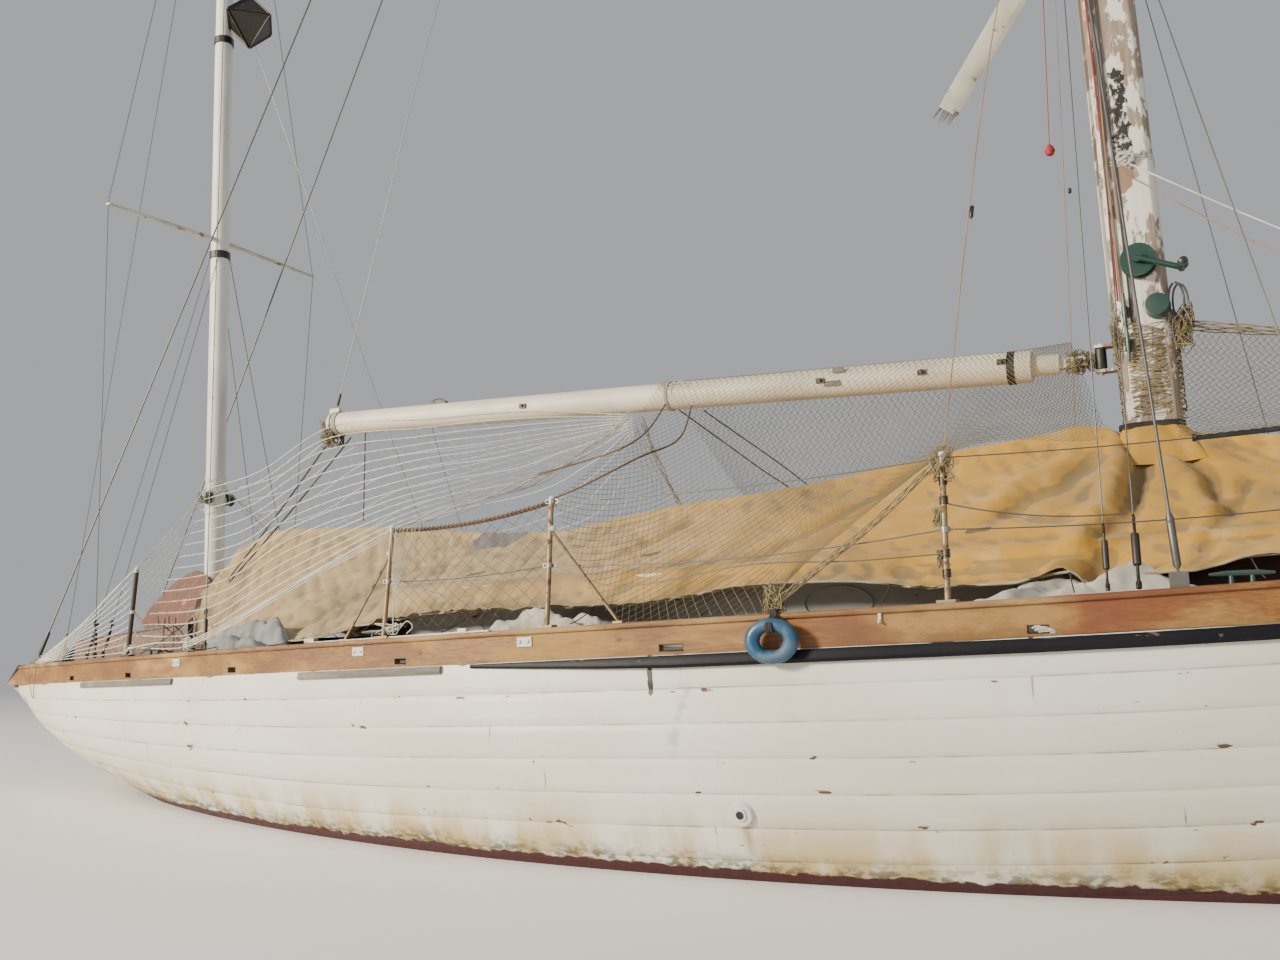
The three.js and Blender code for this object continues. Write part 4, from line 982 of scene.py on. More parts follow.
class RailLine:
    """The cap rail's outer upper edge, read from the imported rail."""

    def __init__(self, aft: float = -6.98, fore: float = 6.3, count: int = 140) -> None:
        """Reads the rail.

        Args:
            aft: the first station.
            fore: the last station.
            count: how many stations.
        """
        caster = Caster("cap_rail_starboard")
        self.stations = np.linspace(aft, fore, count)
        halves, tops = [], []
        for x in self.stations:
            for y in np.arange(-1.72, 0, 0.004):
                hit = caster.meet((x, y, 3), (0, 0, -1))
                if hit is not None:
                    inner = caster.meet((x, y + 0.02, 3), (0, 0, -1))
                    halves.append(-y)
                    tops.append(hit[2] if inner is None else inner[2])
                    break
        self.halves, self.tops = np.array(halves), np.array(tops)

    def half(self, x: float) -> float:
        """Half-breadth over the rail at x."""
        return float(np.interp(x, self.stations, self.halves))

    def top(self, x: float) -> float:
        """Height of the rail's upper face at x."""
        return float(np.interp(x, self.stations, self.tops))

    def at(self, x: float, side: Side, inward: float = 0.046, above: float = 0.0) -> np.ndarray:
        """A point on the rail, inward from its outer edge and above its upper face."""
        return np.array([x, side.value * (self.half(x) - inward), self.top(x) + above])


@dataclass
class Studio:
    """Camera as the photograph was taken, soft light and a pale floor at the waterline."""

    eye: Point = (1.893, -6.156, 1.055)
    look: Point = (-0.460, 0.876, 0.142)
    right: Point = (0.883, 0.468, -0.024)
    lens: float = 31.05
    sensor: float = 36.0
    floor: float = 60.0

    def build(self) -> None:
        """Makes the camera, the lights, the world and the floor."""
        camera = bpy.data.objects.new("camera", bpy.data.cameras.new("camera"))
        camera.data.lens, camera.data.sensor_width = self.lens, self.sensor
        camera.data.clip_start, camera.data.clip_end = 0.05, 400.0
        forward = Vector(self.look).normalized()
        across = (Vector(self.right) - forward * forward.dot(Vector(self.right))).normalized()
        above = across.cross(forward)
        turn = Matrix((across, above, -forward)).transposed().to_4x4()
        camera.matrix_world = Matrix.Translation(Vector(self.eye)) @ turn
        bpy.context.scene.collection.objects.link(camera)
        bpy.context.scene.camera = camera
        self._light("key", (-17.1, -19.6, 10.2), (-1.0, 0.0, 1.5), 4.4, 14600.0, (1.0, 0.90, 0.74))
        self._light("fill", (9.0, -10.0, 7.0), (0.0, 0.0, 1.5), 9.0, 320.0, (0.92, 0.96, 1.0))
        self._light("back", (-2.0, 12.0, 9.0), (0.0, 0.0, 3.0), 9.0, 300.0, (0.95, 0.97, 1.0))
        self._world()
        self._ground()

    @staticmethod
    def _light(name: str, place: Point, target: Point, size: float, power: float, colour: Colour) -> None:
        """One soft square light.

        Args:
            name: its name.
            place: where it stands.
            target: where it points.
            size: its side.
            power: watts.
            colour: its colour.
        """
        lamp = bpy.data.lights.new(name, "AREA")
        lamp.shape = "SQUARE"
        lamp.size = size
        lamp.energy = power
        lamp.color = colour
        holder = bpy.data.objects.new(name, lamp)
        holder.location = place
        holder.rotation_mode = "QUATERNION"
        holder.rotation_quaternion = (Vector(target) - Vector(place)).to_track_quat("-Z", "Y")
        bpy.context.scene.collection.objects.link(holder)

    @staticmethod
    def _world() -> None:
        """An even pale surround."""
        world = bpy.data.worlds.new("surround")
        world.use_nodes = True
        sky = world.node_tree.nodes["Background"].inputs
        sky["Color"].default_value = (0.83, 0.86, 0.9, 1.0)
        sky["Strength"].default_value = 0.52
        bpy.context.scene.world = world

    def _ground(self) -> None:
        """The floor, at the waterline."""
        half = self.floor / 2
        corners = [(-half, -half, 0), (half, -half, 0), (half, half, 0), (-half, half, 0)]
        ground = Shape().add(corners, [[0, 1, 2, 3]]).made("floor", PALE_FLOOR, body=None)


@dataclass(frozen=True)
class FloorFinish(Finish):
    """Even pale matt floor."""

    colour: Colour = (0.74, 0.74, 0.73)

    def paint(self, s: Shader) -> None:
        """Fills the material's node tree."""
        s.surface(self.colour, 0.6)


PALE_FLOOR = FloorFinish("pale_floor")


@dataclass
class Dressing:
    """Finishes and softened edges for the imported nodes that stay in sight."""

    finishes: dict[str, Finish] = field(default_factory=lambda: {
        "hull": WHITE_PLANKS, "ballast_keel": BALLAST_IRON, "deck": TEAK_DECK, "bulwark": VARNISH,
        "cap_rail": CAP_VARNISH, "rubbing_strake_starboard_middle": GREY_WOOD,
        "rubbing_strake_starboard_aft": GREY_WOOD, "rubbing_strake": BLACK_STRAKE, "transom_board": NAVY,
        "cabin_roof": CREAM, "cabin": MAHOGANY, "companionway_hatch": MAHOGANY, "fore_hatch": MAHOGANY,
        "cockpit_coaming": MAHOGANY, "counter_box": PINK_WOOD, "rudder": ANTIFOULING, "tiller": VARNISH,
        "propeller": BRONZE, "main_mast": MAST_WHITE, "gooseneck": DARK_STEEL, "mizzen_mast": MIZZEN_WHITE,
        "main_spreader": SPREADER_WHITE, "mizzen_spreader": SPREADER_WHITE, "main_boom": CREAM,
        "mast_winch": GREEN, "stanchion_aft": DARK_STEEL, "stanchion": BROWNED_STEEL, "main_shroud": WIRE,
        "main_backstay": WIRE, "forestay": WIRE, "stemhead": STEEL, "samson_post": VARNISH,
        "radar_reflector": DARK_STEEL, "cover_ridge_pole": VARNISH, "cover": CANVAS,
        "varnished_board": BOARD_VARNISH, "ring_fender": BLUE_PLASTIC, "cabin_side": CABIN_GREY,
    })
    bevels: dict[str, float] = field(default_factory=lambda: {
        "cap_rail": 0.004, "bulwark": 0.002, "rubbing_strake": 0.004, "transom_board": 0.004,
        "cabin_roof": 0.006, "counter_box": 0.005, "main_boom": 0.004, "main_spreader": 0.003,
        "varnished_board": 0.003, "fore_hatch": 0.005, "cockpit_coaming": 0.004,
        "companionway_hatch": 0.004, "samson_post": 0.005, "mast_winch": 0.003, "main_mast": 0.006,
    })
    smooth_angle: float = 52.0

    def build(self) -> None:
        """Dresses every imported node."""
        group = self._softener()
        for name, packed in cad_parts.items():
            finish = self._named(self.finishes, name)
            packed.data.materials.clear()
            packed.data.materials.append(finish.material())
            soften = packed.modifiers.new("soften", "NODES")
            soften.node_group = group
            width = self._named(self.bevels, name)
            if width:
                bevel = packed.modifiers.new("edges", "BEVEL")
                bevel.width = width
                bevel.segments = 2
                bevel.limit_method = "ANGLE"
                bevel.angle_limit = math.radians(38)
            LOG.info("node %s: %s", name, finish.name)

    @staticmethod
    def _named(table: dict[str, Any], name: str) -> Any:
        """The entry whose key starts the name, the longest first, or None."""
        keys = sorted((key for key in table if name.startswith(key)), key=len)
        return table[keys[-1]] if keys else None

    def _softener(self) -> bpy.types.NodeTree:
        """Makes a geometry group that joins split corners and shades shallow edges smooth.

        Returns:
            The group.
        """
        group = bpy.data.node_groups.new("soften", "GeometryNodeTree")
        for way in ("INPUT", "OUTPUT"):
            group.interface.new_socket("Geometry", in_out=way, socket_type="NodeSocketGeometry")
        chain = [group.nodes.new(kind) for kind in (
            "NodeGroupInput", "GeometryNodeRemoveAttribute", "GeometryNodeMergeByDistance",
            "GeometryNodeSetShadeSmooth", "GeometryNodeSetShadeSmooth", "NodeGroupOutput")]
        for before, after in zip(chain, chain[1:]):
            group.links.new(before.outputs[0], after.inputs[0])
        _, plain, merge, _, edges, _ = chain
        plain.inputs["Name"].default_value = "custom_normal"
        merge.inputs["Distance"].default_value = 1e-5
        edges.domain = "EDGE"
        angle = group.nodes.new("GeometryNodeInputMeshEdgeAngle")
        shallow = group.nodes.new("FunctionNodeCompare")
        shallow.operation = "LESS_THAN"
        shallow.inputs["B"].default_value = math.radians(self.smooth_angle)
        group.links.new(angle.outputs["Unsigned Angle"], shallow.inputs["A"])
        group.links.new(shallow.outputs["Result"], edges.inputs["Shade Smooth"])
        return group


@dataclass
class Planking:
    """The hull's skin of planks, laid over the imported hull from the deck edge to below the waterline."""

    rail: RailLine
    bulwark: float = 0.154
    plank: float = 0.152
    narrow: float = 0.62
    groove: float = 0.0045
    groove_deep: float = 0.0022
    crown: float = 0.0012
    stand: float = 0.0016
    low: float = -0.45
    step: float = 0.085
    rays: int = 110

    def build(self) -> None:
        """Makes both sides' planking and the skin fitting."""
        stations = self._stations()
        sections = [self._section(x) for x in stations]
        rows = self._rows(max(s[0][-1] for s in sections))
        grid = np.array([self._place(part, rows, self._width(x)) for x, part in zip(stations, sections)])
        xs = np.arange(stations[0], stations[-1] + self.step / 2, self.step)
        fine = self._across(stations, grid, xs)
        for side in Side:
            self._skin(side, xs, fine, rows)
        self._skin_fitting()

    def _stations(self) -> np.ndarray:
        """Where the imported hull's sections stand: x of the corners along its upper edge."""
        corners = np.array([v.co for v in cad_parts["hull"].data.vertices])
        keep = []
        for x in np.unique(corners[:, 0].round(4)):
            y = np.abs(corners[np.abs(corners[:, 0] - x) < 2e-4][:, 1]).max()
            if -6.95 < x < 6.35 and y > self.rail.half(x) - 0.05:
                keep.append(x)
        spread = [x for i, x in enumerate(keep) if i == 0 or x - keep[i - 1] > 0.05]
        return np.array([-7.0, *[x for x in spread if x > -6.9], 6.36])

    def _section(self, x: float) -> tuple[np.ndarray, np.ndarray]:
        """The hull's section at x.

        Args:
            x: the station.

        Returns:
            Distance round the section from the deck edge, and the points [y, z] there, to starboard.
        """
        if not hasattr(self, "caster"):
            self.caster = Caster("hull")
        edge = self.rail.top(x) - self.bulwark
        points = [(-(self.rail.half(x) - 0.014), edge)]
        for turn in np.linspace(0.0, -math.pi / 2, self.rays):
            out = np.array([0.0, -math.cos(turn), math.sin(turn)])
            middle = np.array([x, 0.0, edge - 0.04])
            hit = self.caster.meet(middle + out * 4.0, -out)
            if hit is not None and hit[2] > self.low and hit[1] < 0.01:
                points.append((hit[1], hit[2]))
        line = np.array(points)
        return distances(line), line

    def _width(self, x: float) -> float:
        """A plank's width at x: narrower towards the ends."""
        return self.plank * (self.narrow + (1 - self.narrow) * min(1.0, self.rail.half(x) / 1.55))

    def _rows(self, far: float) -> np.ndarray:
        """Rows of corners round the section, in plank widths, with the lips and bottom of each seam.

        Args:
            far: the longest way round any section.

        Returns:
            The rows.
        """
        lip = self.groove / self.plank
        one = [0.0, lip, 0.28, 0.5, 0.72, 1 - lip]
        count = int(far / self.plank) + 2
        return np.array([k + part for k in range(count) for part in one])

    def _place(self, section: tuple[np.ndarray, np.ndarray], rows: np.ndarray, width: float) -> np.ndarray:
        """The rows' points [y, z] on one section, set out square to it.

        Args:
            section: distance round it, and its points.
            rows: rows in plank widths.
            width: a plank's width there.

        Returns:
            The points.
        """
        far, line = section
        at = np.minimum(rows * width, far[-1])
        along = read_at(at + 0.02, far, line) - read_at(at - 0.02, far, line)
        along /= np.maximum(np.linalg.norm(along, axis=1, keepdims=True), 1e-9)
        out = np.stack([along[:, 1], -along[:, 0]], axis=1)
        part = rows % 1.0
        lift = self.stand + self.crown * np.sin(np.pi * part) - self.groove_deep * (part == 0.0)
        return read_at(at, far, line) + out * lift[:, None]

    @staticmethod
    def _across(stations: np.ndarray, grid: np.ndarray, xs: np.ndarray) -> np.ndarray:
        """Smooth curves through the sections, read at closer stations.

        Args:
            stations: the sections' x.
            grid: their points, section by row by [y, z].
            xs: the closer stations.

        Returns:
            The points, station by row by [y, z].
        """
        slope = np.gradient(grid, stations, axis=0)
        i = np.clip(np.searchsorted(stations, xs, side="right") - 1, 0, len(stations) - 2)
        span = (stations[i + 1] - stations[i])[:, None, None]
        t = ((xs - stations[i])[:, None, None]) / span
        return ((2 * t ** 3 - 3 * t ** 2 + 1) * grid[i] + (t ** 3 - 2 * t ** 2 + t) * span * slope[i]
                + (3 * t ** 2 - 2 * t ** 3) * grid[i + 1] + (t ** 3 - t ** 2) * span * slope[i + 1])

    def _skin(self, side: Side, xs: np.ndarray, fine: np.ndarray, rows: np.ndarray) -> None:
        """One side's planking.

        Args:
            side: the side of the boat.
            xs: the stations.
            fine: points [y, z] at each station and row.
            rows: the rows in plank widths.
        """
        count = len(rows)
        across = np.broadcast_to(xs[:, None, None], (*fine.shape[:2], 1))
        corners = np.concatenate([across, fine], axis=2)
        corners[..., 1] *= -side.value
        faces = []
        for i in range(len(xs) - 1):
            for j in range(count - 1):
                tall = sum(abs(fine[k, j] - fine[k, j + 1]).max() for k in (i, i + 1))
                if tall > 1e-4:
                    a, b = i * count + j, (i + 1) * count + j
                    quad = [a, b, b + 1, a + 1]
                    faces.append(quad if side is Side.PORT else quad[::-1])
        skin = Shape().add(corners.reshape(-1, 3), faces)
        skin = skin.made(f"planking_{side.word}", WHITE_PLANKS, angle=60)
        strake = skin.data.attributes.new("strake", "FLOAT", "POINT")
        strake.data.foreach_set("value", np.tile(rows, len(xs)).astype(np.float32))

    def _skin_fitting(self) -> None:
        """Flanged outlet through the starboard planking, with its rim and bore."""
        hit = Caster("hull").meet((-0.03, -3, 0.301), (0, 1, 0))
        out = (0.0, -1.0, -0.22)
        profile = [(-0.01, 0.058), (0.016, 0.058), (0.024, 0.05), (0.025, 0.032), (0.031, 0.027),
                   (0.031, 0.019)]
        Shape().turned(hit, out, profile, 28).made("skin_fitting", WHITE_PLASTIC)
        bore = [(0.0, 0.0185), (0.0313, 0.0185)]
        Shape().turned(hit, out, bore, 24).made("skin_fitting_bore", BLACK_RUBBER)


@dataclass
class CoverCloth:
    """The canvas cover, simulated as cloth over its ridge pole and tied down along its edges."""

    rail: RailLine
    stations: int = 172
    across: int = 74
    frames: int = 44
    spare: float = 0.045
    sink: float = 0.055
    swell: float = 0.05
    crease: float = 0.008
    steps: int = 5
    clearance: float = 0.015
    slip: float = 0.06
    hem: tuple[tuple[float, float], ...] = (
        (-3.2, 0.0), (-2.75, 0.017), (-2.4, 0.061), (-1.9, 0.073), (-1.3, 0.057), (-0.8, 0.03), (0.0, 0.036),
        (0.35, 0.039), (0.7, 0.018), (1.05, 0.005), (1.35, 0.03), (1.52, -0.004), (1.8, -0.024), (1.98, 0.0))
    folds: tuple[tuple[float, ...], ...] = (
        (1.55, 1.95, 1.57, 1.72, 0.03, 0.05), (1.57, 1.76, 1.39, 1.27, 0.055, 0.06),
        (1.81, 1.86, 1.92, 1.63, 0.045, 0.05), (1.37, 1.87, 0.98, 1.63, 0.035, 0.05),
        (1.0, 1.62, 1.50, 1.47, 0.02, 0.035), (0.38, 1.9, -0.35, 1.32, 0.016, 0.04),
        (2.0, 1.66, 1.81, 1.34, 0.02, 0.03), (-1.39, 1.78, -1.62, 1.66, 0.022, 0.04),
        (-0.62, 1.45, -0.85, 1.33, 0.03, 0.035), (-2.61, 1.57, -2.15, 1.31, 0.018, 0.035),
        (-3.0, 1.42, -3.3, 1.22, 0.025, 0.05), (-0.9, 1.7, -1.15, 1.55, 0.015, 0.03))
    peak: tuple[float, float, float] = (1.30, 0.16, 0.035)
    gap: tuple[float, float] = (0.15, 0.115)
    mast: tuple[float, float] = (1.651, 2.06)
    flat: tuple[float, float] = (3.4, 8.3)

    def build(self) -> None:
        """Makes the cover, its hem, its collar round the mast and its ties."""
        grid = self._grid()
        cloth = self._mesh(grid)
        self._drape(cloth, grid)
        self._creases(cloth)
        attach(cloth, HULL)
        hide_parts("cover")
        self._hem(cloth)
        self._collar()

    def _edge(self) -> tuple[np.ndarray, np.ndarray, np.ndarray]:
        """Stations, half-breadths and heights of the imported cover's lower edge."""
        corners = np.array([v.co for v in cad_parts["cover"].data.vertices])
        rows = []
        for x in np.unique(corners[:, 0].round(3)):
            ring = corners[np.abs(corners[:, 0] - x) < 1e-3]
            if len(ring) > 8 and np.abs(ring[:, 1]).max() > 0.165:
                low = ring[ring[:, 2] < ring[:, 2].min() + 0.003]
                rows.append((x, np.abs(low[:, 1]).max(), low[:, 2].min()))
        return tuple(np.array(rows).T)

    def _grid(self) -> np.ndarray:
        """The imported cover's outer face, station by point by XYZ, evenly spaced round each station."""
        caster = Caster("cover")
        xs, halves, lows = self._edge()
        grid = np.full((self.stations, self.across, 3), np.nan)
        for i, x in enumerate(np.linspace(xs[0] + 0.004, xs[-1] - 0.004, self.stations)):
            half, low = float(np.interp(x, xs, halves)), float(np.interp(x, xs, lows))
            low += float(np.interp(x, *zip(*self.hem)))
            points = [(-half, low)]
            for turn in np.linspace(math.pi - 0.02, 0.02, 121):
                out = np.array([0.0, math.cos(turn), math.sin(turn)])
                middle = np.array([x, 0.0, low])
                hit = caster.meet(middle + out * 3.0, -out)
                if hit is not None and (hit - middle) @ out > 0.3:
                    points.append((hit[1], hit[2]))
            points.append((half, low))
            line = np.array(points)
            far = distances(line)
            grid[i, :, 0] = x
            grid[i, :, 1:] = read_at(np.linspace(0, far[-1], self.across), far, line)
        return grid

    def _in_gap(self, point: np.ndarray) -> bool:
        """Whether a point lies in the gap left for the mast."""
        return abs(point[0] - self.mast[0]) < self.gap[0] and abs(point[1]) < self.gap[1]

    def _mesh(self, grid: np.ndarray) -> bpy.types.Object:
        """The grid as a mesh object.

        Args:
            grid: the cover's points.

        Returns:
            The object.
        """
        points = grid.reshape(-1, 3)
        faces = [[i, k, l, j] for i, j, l, k in quads(*grid.shape[:2])
                 if not self._in_gap(points[[i, j, l, k]].mean(axis=0))]
        return Shape().add(points, faces).made("canvas_cover", CANVAS, body=None, angle=180)

    def _pins(self, grid: np.ndarray) -> np.ndarray:
        """How firmly each point is held, from 0 to 1.

        Args:
            grid: the cover's points.

        Returns:
            The weights, station by point.
        """
        n, m = grid.shape[:2]
        held = np.zeros((n, m))
        held[:, [m // 2 - 1, m // 2]] = 1.0
        held[:, [0, m - 1]] = 0.9
        beside = np.abs(grid[..., :2] - [self.mast[0], 0]) < np.array(self.gap) + 0.05
        held[beside.all(axis=-1)] = 1.0
        held[0, ::5] = 1.0
        held[-1, ::6] = 1.0
        return held

    def _drape(self, cloth: bpy.types.Object, grid: np.ndarray) -> None:
        """Lets the cloth fall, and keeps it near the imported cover.

        Args:
            cloth: the cover.
            grid: its points before.
        """
        held = self._pins(grid).reshape(-1)
        group = cloth.vertex_groups.new(name="held")
        group.add([int(i) for i in np.flatnonzero(held)], 1.0, "REPLACE")
        falling = cloth.modifiers.new("falling", "CLOTH")
        settings = falling.settings
        settings.vertex_group_mass = "held"
        settings.quality = 6
        settings.mass = 0.35
        settings.tension_stiffness = settings.compression_stiffness = 22.0
        settings.shear_stiffness = 6.0
        settings.bending_stiffness = 0.35
        settings.air_damping = 2.0
        settings.shrink_min = -self.spare
        falling.collision_settings.use_collision = False
        falling.point_cache.frame_start = 1
        falling.point_cache.frame_end = self.frames
        scene = bpy.context.scene
        for number in range(1, self.frames + 1):
            scene.frame_set(number)
        shown = cloth.evaluated_get(bpy.context.evaluated_depsgraph_get())
        fallen = np.empty(len(cloth.data.vertices) * 3)
        shown.data.vertices.foreach_get("co", fallen)
        cloth.modifiers.remove(falling)
        cloth.vertex_groups.remove(group)
        scene.frame_set(1)
        before = grid.reshape(-1, 3)
        moved = fallen.reshape(-1, 3) - before
        normals = np.empty(len(before) * 3)
        cloth.data.vertices.foreach_get("normal", normals)
        normals = normals.reshape(-1, 3)
        out = (moved * normals).sum(axis=1)
        aside = moved - normals * out[:, None]
        reach = np.where(out < 0, self.sink, self.swell)
        kept = np.tanh(out / reach) * reach
        length = np.linalg.norm(aside, axis=1)
        aside *= (np.tanh(length / self.slip) * self.slip / np.maximum(length, 1e-9))[:, None]
        LOG.info("cover fell %.3f m at most, %.3f m on average", np.abs(out).max(), np.abs(out).mean())
        after = self._eased(before, normals * kept[:, None] + aside)
        cloth.data.vertices.foreach_set("co", after.reshape(-1))
        cloth.data.update()

    def _eased(self, at: np.ndarray, move: np.ndarray) -> np.ndarray:
        """Moves the cloth's points in short steps that stay clear of what carries it.

        Args:
            at: the points.
            move: how far each one moves.

        Returns:
            The points, moved.
        """
        carriers = Caster("cabin_roof", "companionway_hatch", "cover_ridge_pole")
        for _ in range(self.steps):
            at = np.array([carriers.clear(point, self.clearance) for point in at + move / self.steps])
        return at

    def _fold(self, at: np.ndarray) -> np.ndarray:
        """How far the broad folds on the starboard side lie in, each with a raised lip on its after side.

        Args:
            at: the cloth's points.

        Returns:
            The distance inwards for each point.
        """
        inward = np.zeros(len(at))
        for x0, z0, x1, z1, deep, wide in self.folds:
            long = math.hypot(x1 - x0, z1 - z0)
            u, v = (x1 - x0) / long, (z1 - z0) / long
            run = (at[:, 0] - x0) * u + (at[:, 2] - z0) * v
            off = (at[:, 2] - z0) * u - (at[:, 0] - x0) * v
            off = off + 0.25 * wide * np.sin(run * 21 + x0 * 5)
            past = np.maximum(0, np.abs(run - long / 2) - long / 2) / (2 * wide)
            lip = 0.7 * np.exp(-((off + 1.7 * wide) / (1.3 * wide)) ** 2)
            inward += deep * (np.exp(-(off / wide) ** 2) - lip) * np.exp(-past ** 2)
        return inward * np.clip(-at[:, 1] / 0.2, 0, 1)

    def _creases(self, cloth: bpy.types.Object) -> None:
        """Divides the cloth once, presses fine creases into it and keeps how far each point is sunk, which
        the canvas darkens as painted shade.

        Args:
            cloth: the cover.
        """
        finer = cloth.modifiers.new("finer", "SUBSURF")
        finer.levels = 1
        shown = cloth.evaluated_get(bpy.context.evaluated_depsgraph_get())
        fine = bpy.data.meshes.new_from_object(shown)
        cloth.modifiers.remove(finer)
        old = cloth.data
        cloth.data = fine
        bpy.data.meshes.remove(old)
        count = len(fine.vertices)
        at, out = np.empty(count * 3), np.empty(count * 3)
        fine.vertices.foreach_get("co", at)
        fine.vertices.foreach_get("normal", out)
        at, out = at.reshape(-1, 3), out.reshape(-1, 3)
        depth = np.empty(count)
        for i, (x, y, z) in enumerate(at):
            bend = 0.35 * noise.noise((x * 0.7, y * 0.7, z * 0.7))
            along = (x * 0.55 + abs(y) * 0.83 + bend) * 3.2
            over = (x * 0.83 - abs(y) * 0.55 + bend) * 13.0
            ridged = 1 - abs(noise.noise((along, over, z * 2.0))) * 2.4
            small = 1 - abs(noise.noise((x * 19 + 7, y * 15, z * 15))) * 2.2
            depth[i] = ridged * 0.75 + small * 0.35
        depth -= depth.mean()
        middle, reach, lift = self.peak
        aft = np.clip((-0.8 - at[:, 0]) / 1.4, 0, 1)
        move = out * (depth * self.crease * (1 + 1.3 * aft) - self._fold(at))[:, None]
        move[:, 2] += lift * np.exp(-((at[:, 0] - middle) / reach) ** 2 - (at[:, 1] / 0.25) ** 2)
        at = self._eased(at, move)
        fine.vertices.foreach_set("co", at.reshape(-1))
        fine.shade_smooth()
        fine.update()
        edges = np.empty(len(fine.edges) * 2, int)
        fine.edges.foreach_get("vertices", edges)
        a, b = edges.reshape(-1, 2).T
        level = at.copy()
        for _ in range(14):
            total, beside = level.copy(), np.ones(count)
            np.add.at(total, a, level[b])
            np.add.at(total, b, level[a])
            np.add.at(beside, a, 1)
            np.add.at(beside, b, 1)
            level = total / beside[:, None]
        sunk = ((level - at) * out).sum(axis=1) / 0.006
        # Kept on the mesh for the canvas's painted shade in its folds.
        kept = fine.attributes.new("fold_shade", "FLOAT", "POINT")
        kept.data.foreach_set("value", np.clip(sunk, -1, 1).astype(np.float32))

    def _hem(self, cloth: bpy.types.Object) -> None:
        """Bolt rope along the cover's edges, and lashings down to the rail.

        Args:
            cloth: the cover.
        """
        hem, ties = Shape(), Shape()
        at = np.array([v.co for v in cloth.data.vertices])
        xs = at[:, 0]
        for side in Side:
            flank = at[at[:, 1] * side.value > 0.1]
            line = []
            for x in np.arange(xs.min() + 0.01, xs.max() - 0.005, 0.05):
                near = flank[np.abs(flank[:, 0] - x) < 0.045]
                if len(near):
                    line.append(near[np.argmin(near[:, 2])])
            hem.tube(smooth_path(line, 2), 0.006, 6)
            for k in range(6, len(line) - 2, 15):
                foot = self.rail.at(float(line[k][0]) + 0.04, side, inward=0.09, above=0.012)
                ties.tube(hanging(line[k], foot, 0.012, 6), 0.003, 5)
        hem.made("cover_hem", PALE_ROPE)
        ties.made("cover_ties", DARK_ROPE)

    def _collar(self) -> None:
        """Gathered collar where the cover closes round the mast, with its lashing."""
        x, z = self.mast
        rings = []
        turn = round_trip(72)
        round_x, round_y = np.transpose([squared(t, 0.75) for t in turn])
        for far, long, wide in ((0.0, 0.29, 0.23), (0.3, 0.215, 0.168), (0.62, 0.163, 0.126),
                                (0.85, 0.147, 0.11), (1.0, 0.152, 0.116)):
            fold = 1 + 0.045 * (np.sin(turn * 13 + far * 3) + np.sin(turn * 7 + 1.3)) * (1 - 0.4 * far)
            drop = -0.03 * np.cos(turn * 2) * (1 - far) - 0.02 * (1 - far)
            drop -= 0.75 * (1 - far) ** 2 * np.abs(np.sin(turn)) * wide
            rings.append(np.stack([x - 0.02 * far + round_x * long * fold, round_y * wide * fold,
                                   z - 0.055 + far * 0.07 + drop], axis=1))
        faces = quads(len(rings), len(turn), ringed=True)
        collar = Shape().add(np.vstack(rings), faces).made("cover_collar", CANVAS, angle=180)
        band = Shape()
        for lift in (-0.004, 0.005, 0.014):
            ring = [(x - 0.018 + a * 0.153, b * 0.117, z + lift)
                    for a, b in (squared(t, 0.6) for t in turn[::2])]
            band.tube(ring, 0.0045, 6, loop=True)
        band.made("collar_lashing", DARK_ROPE)


class Weave(Enum):
    """How a net's knots are joined."""

    DIAMOND = "diamond"
    ROWS = "rows"


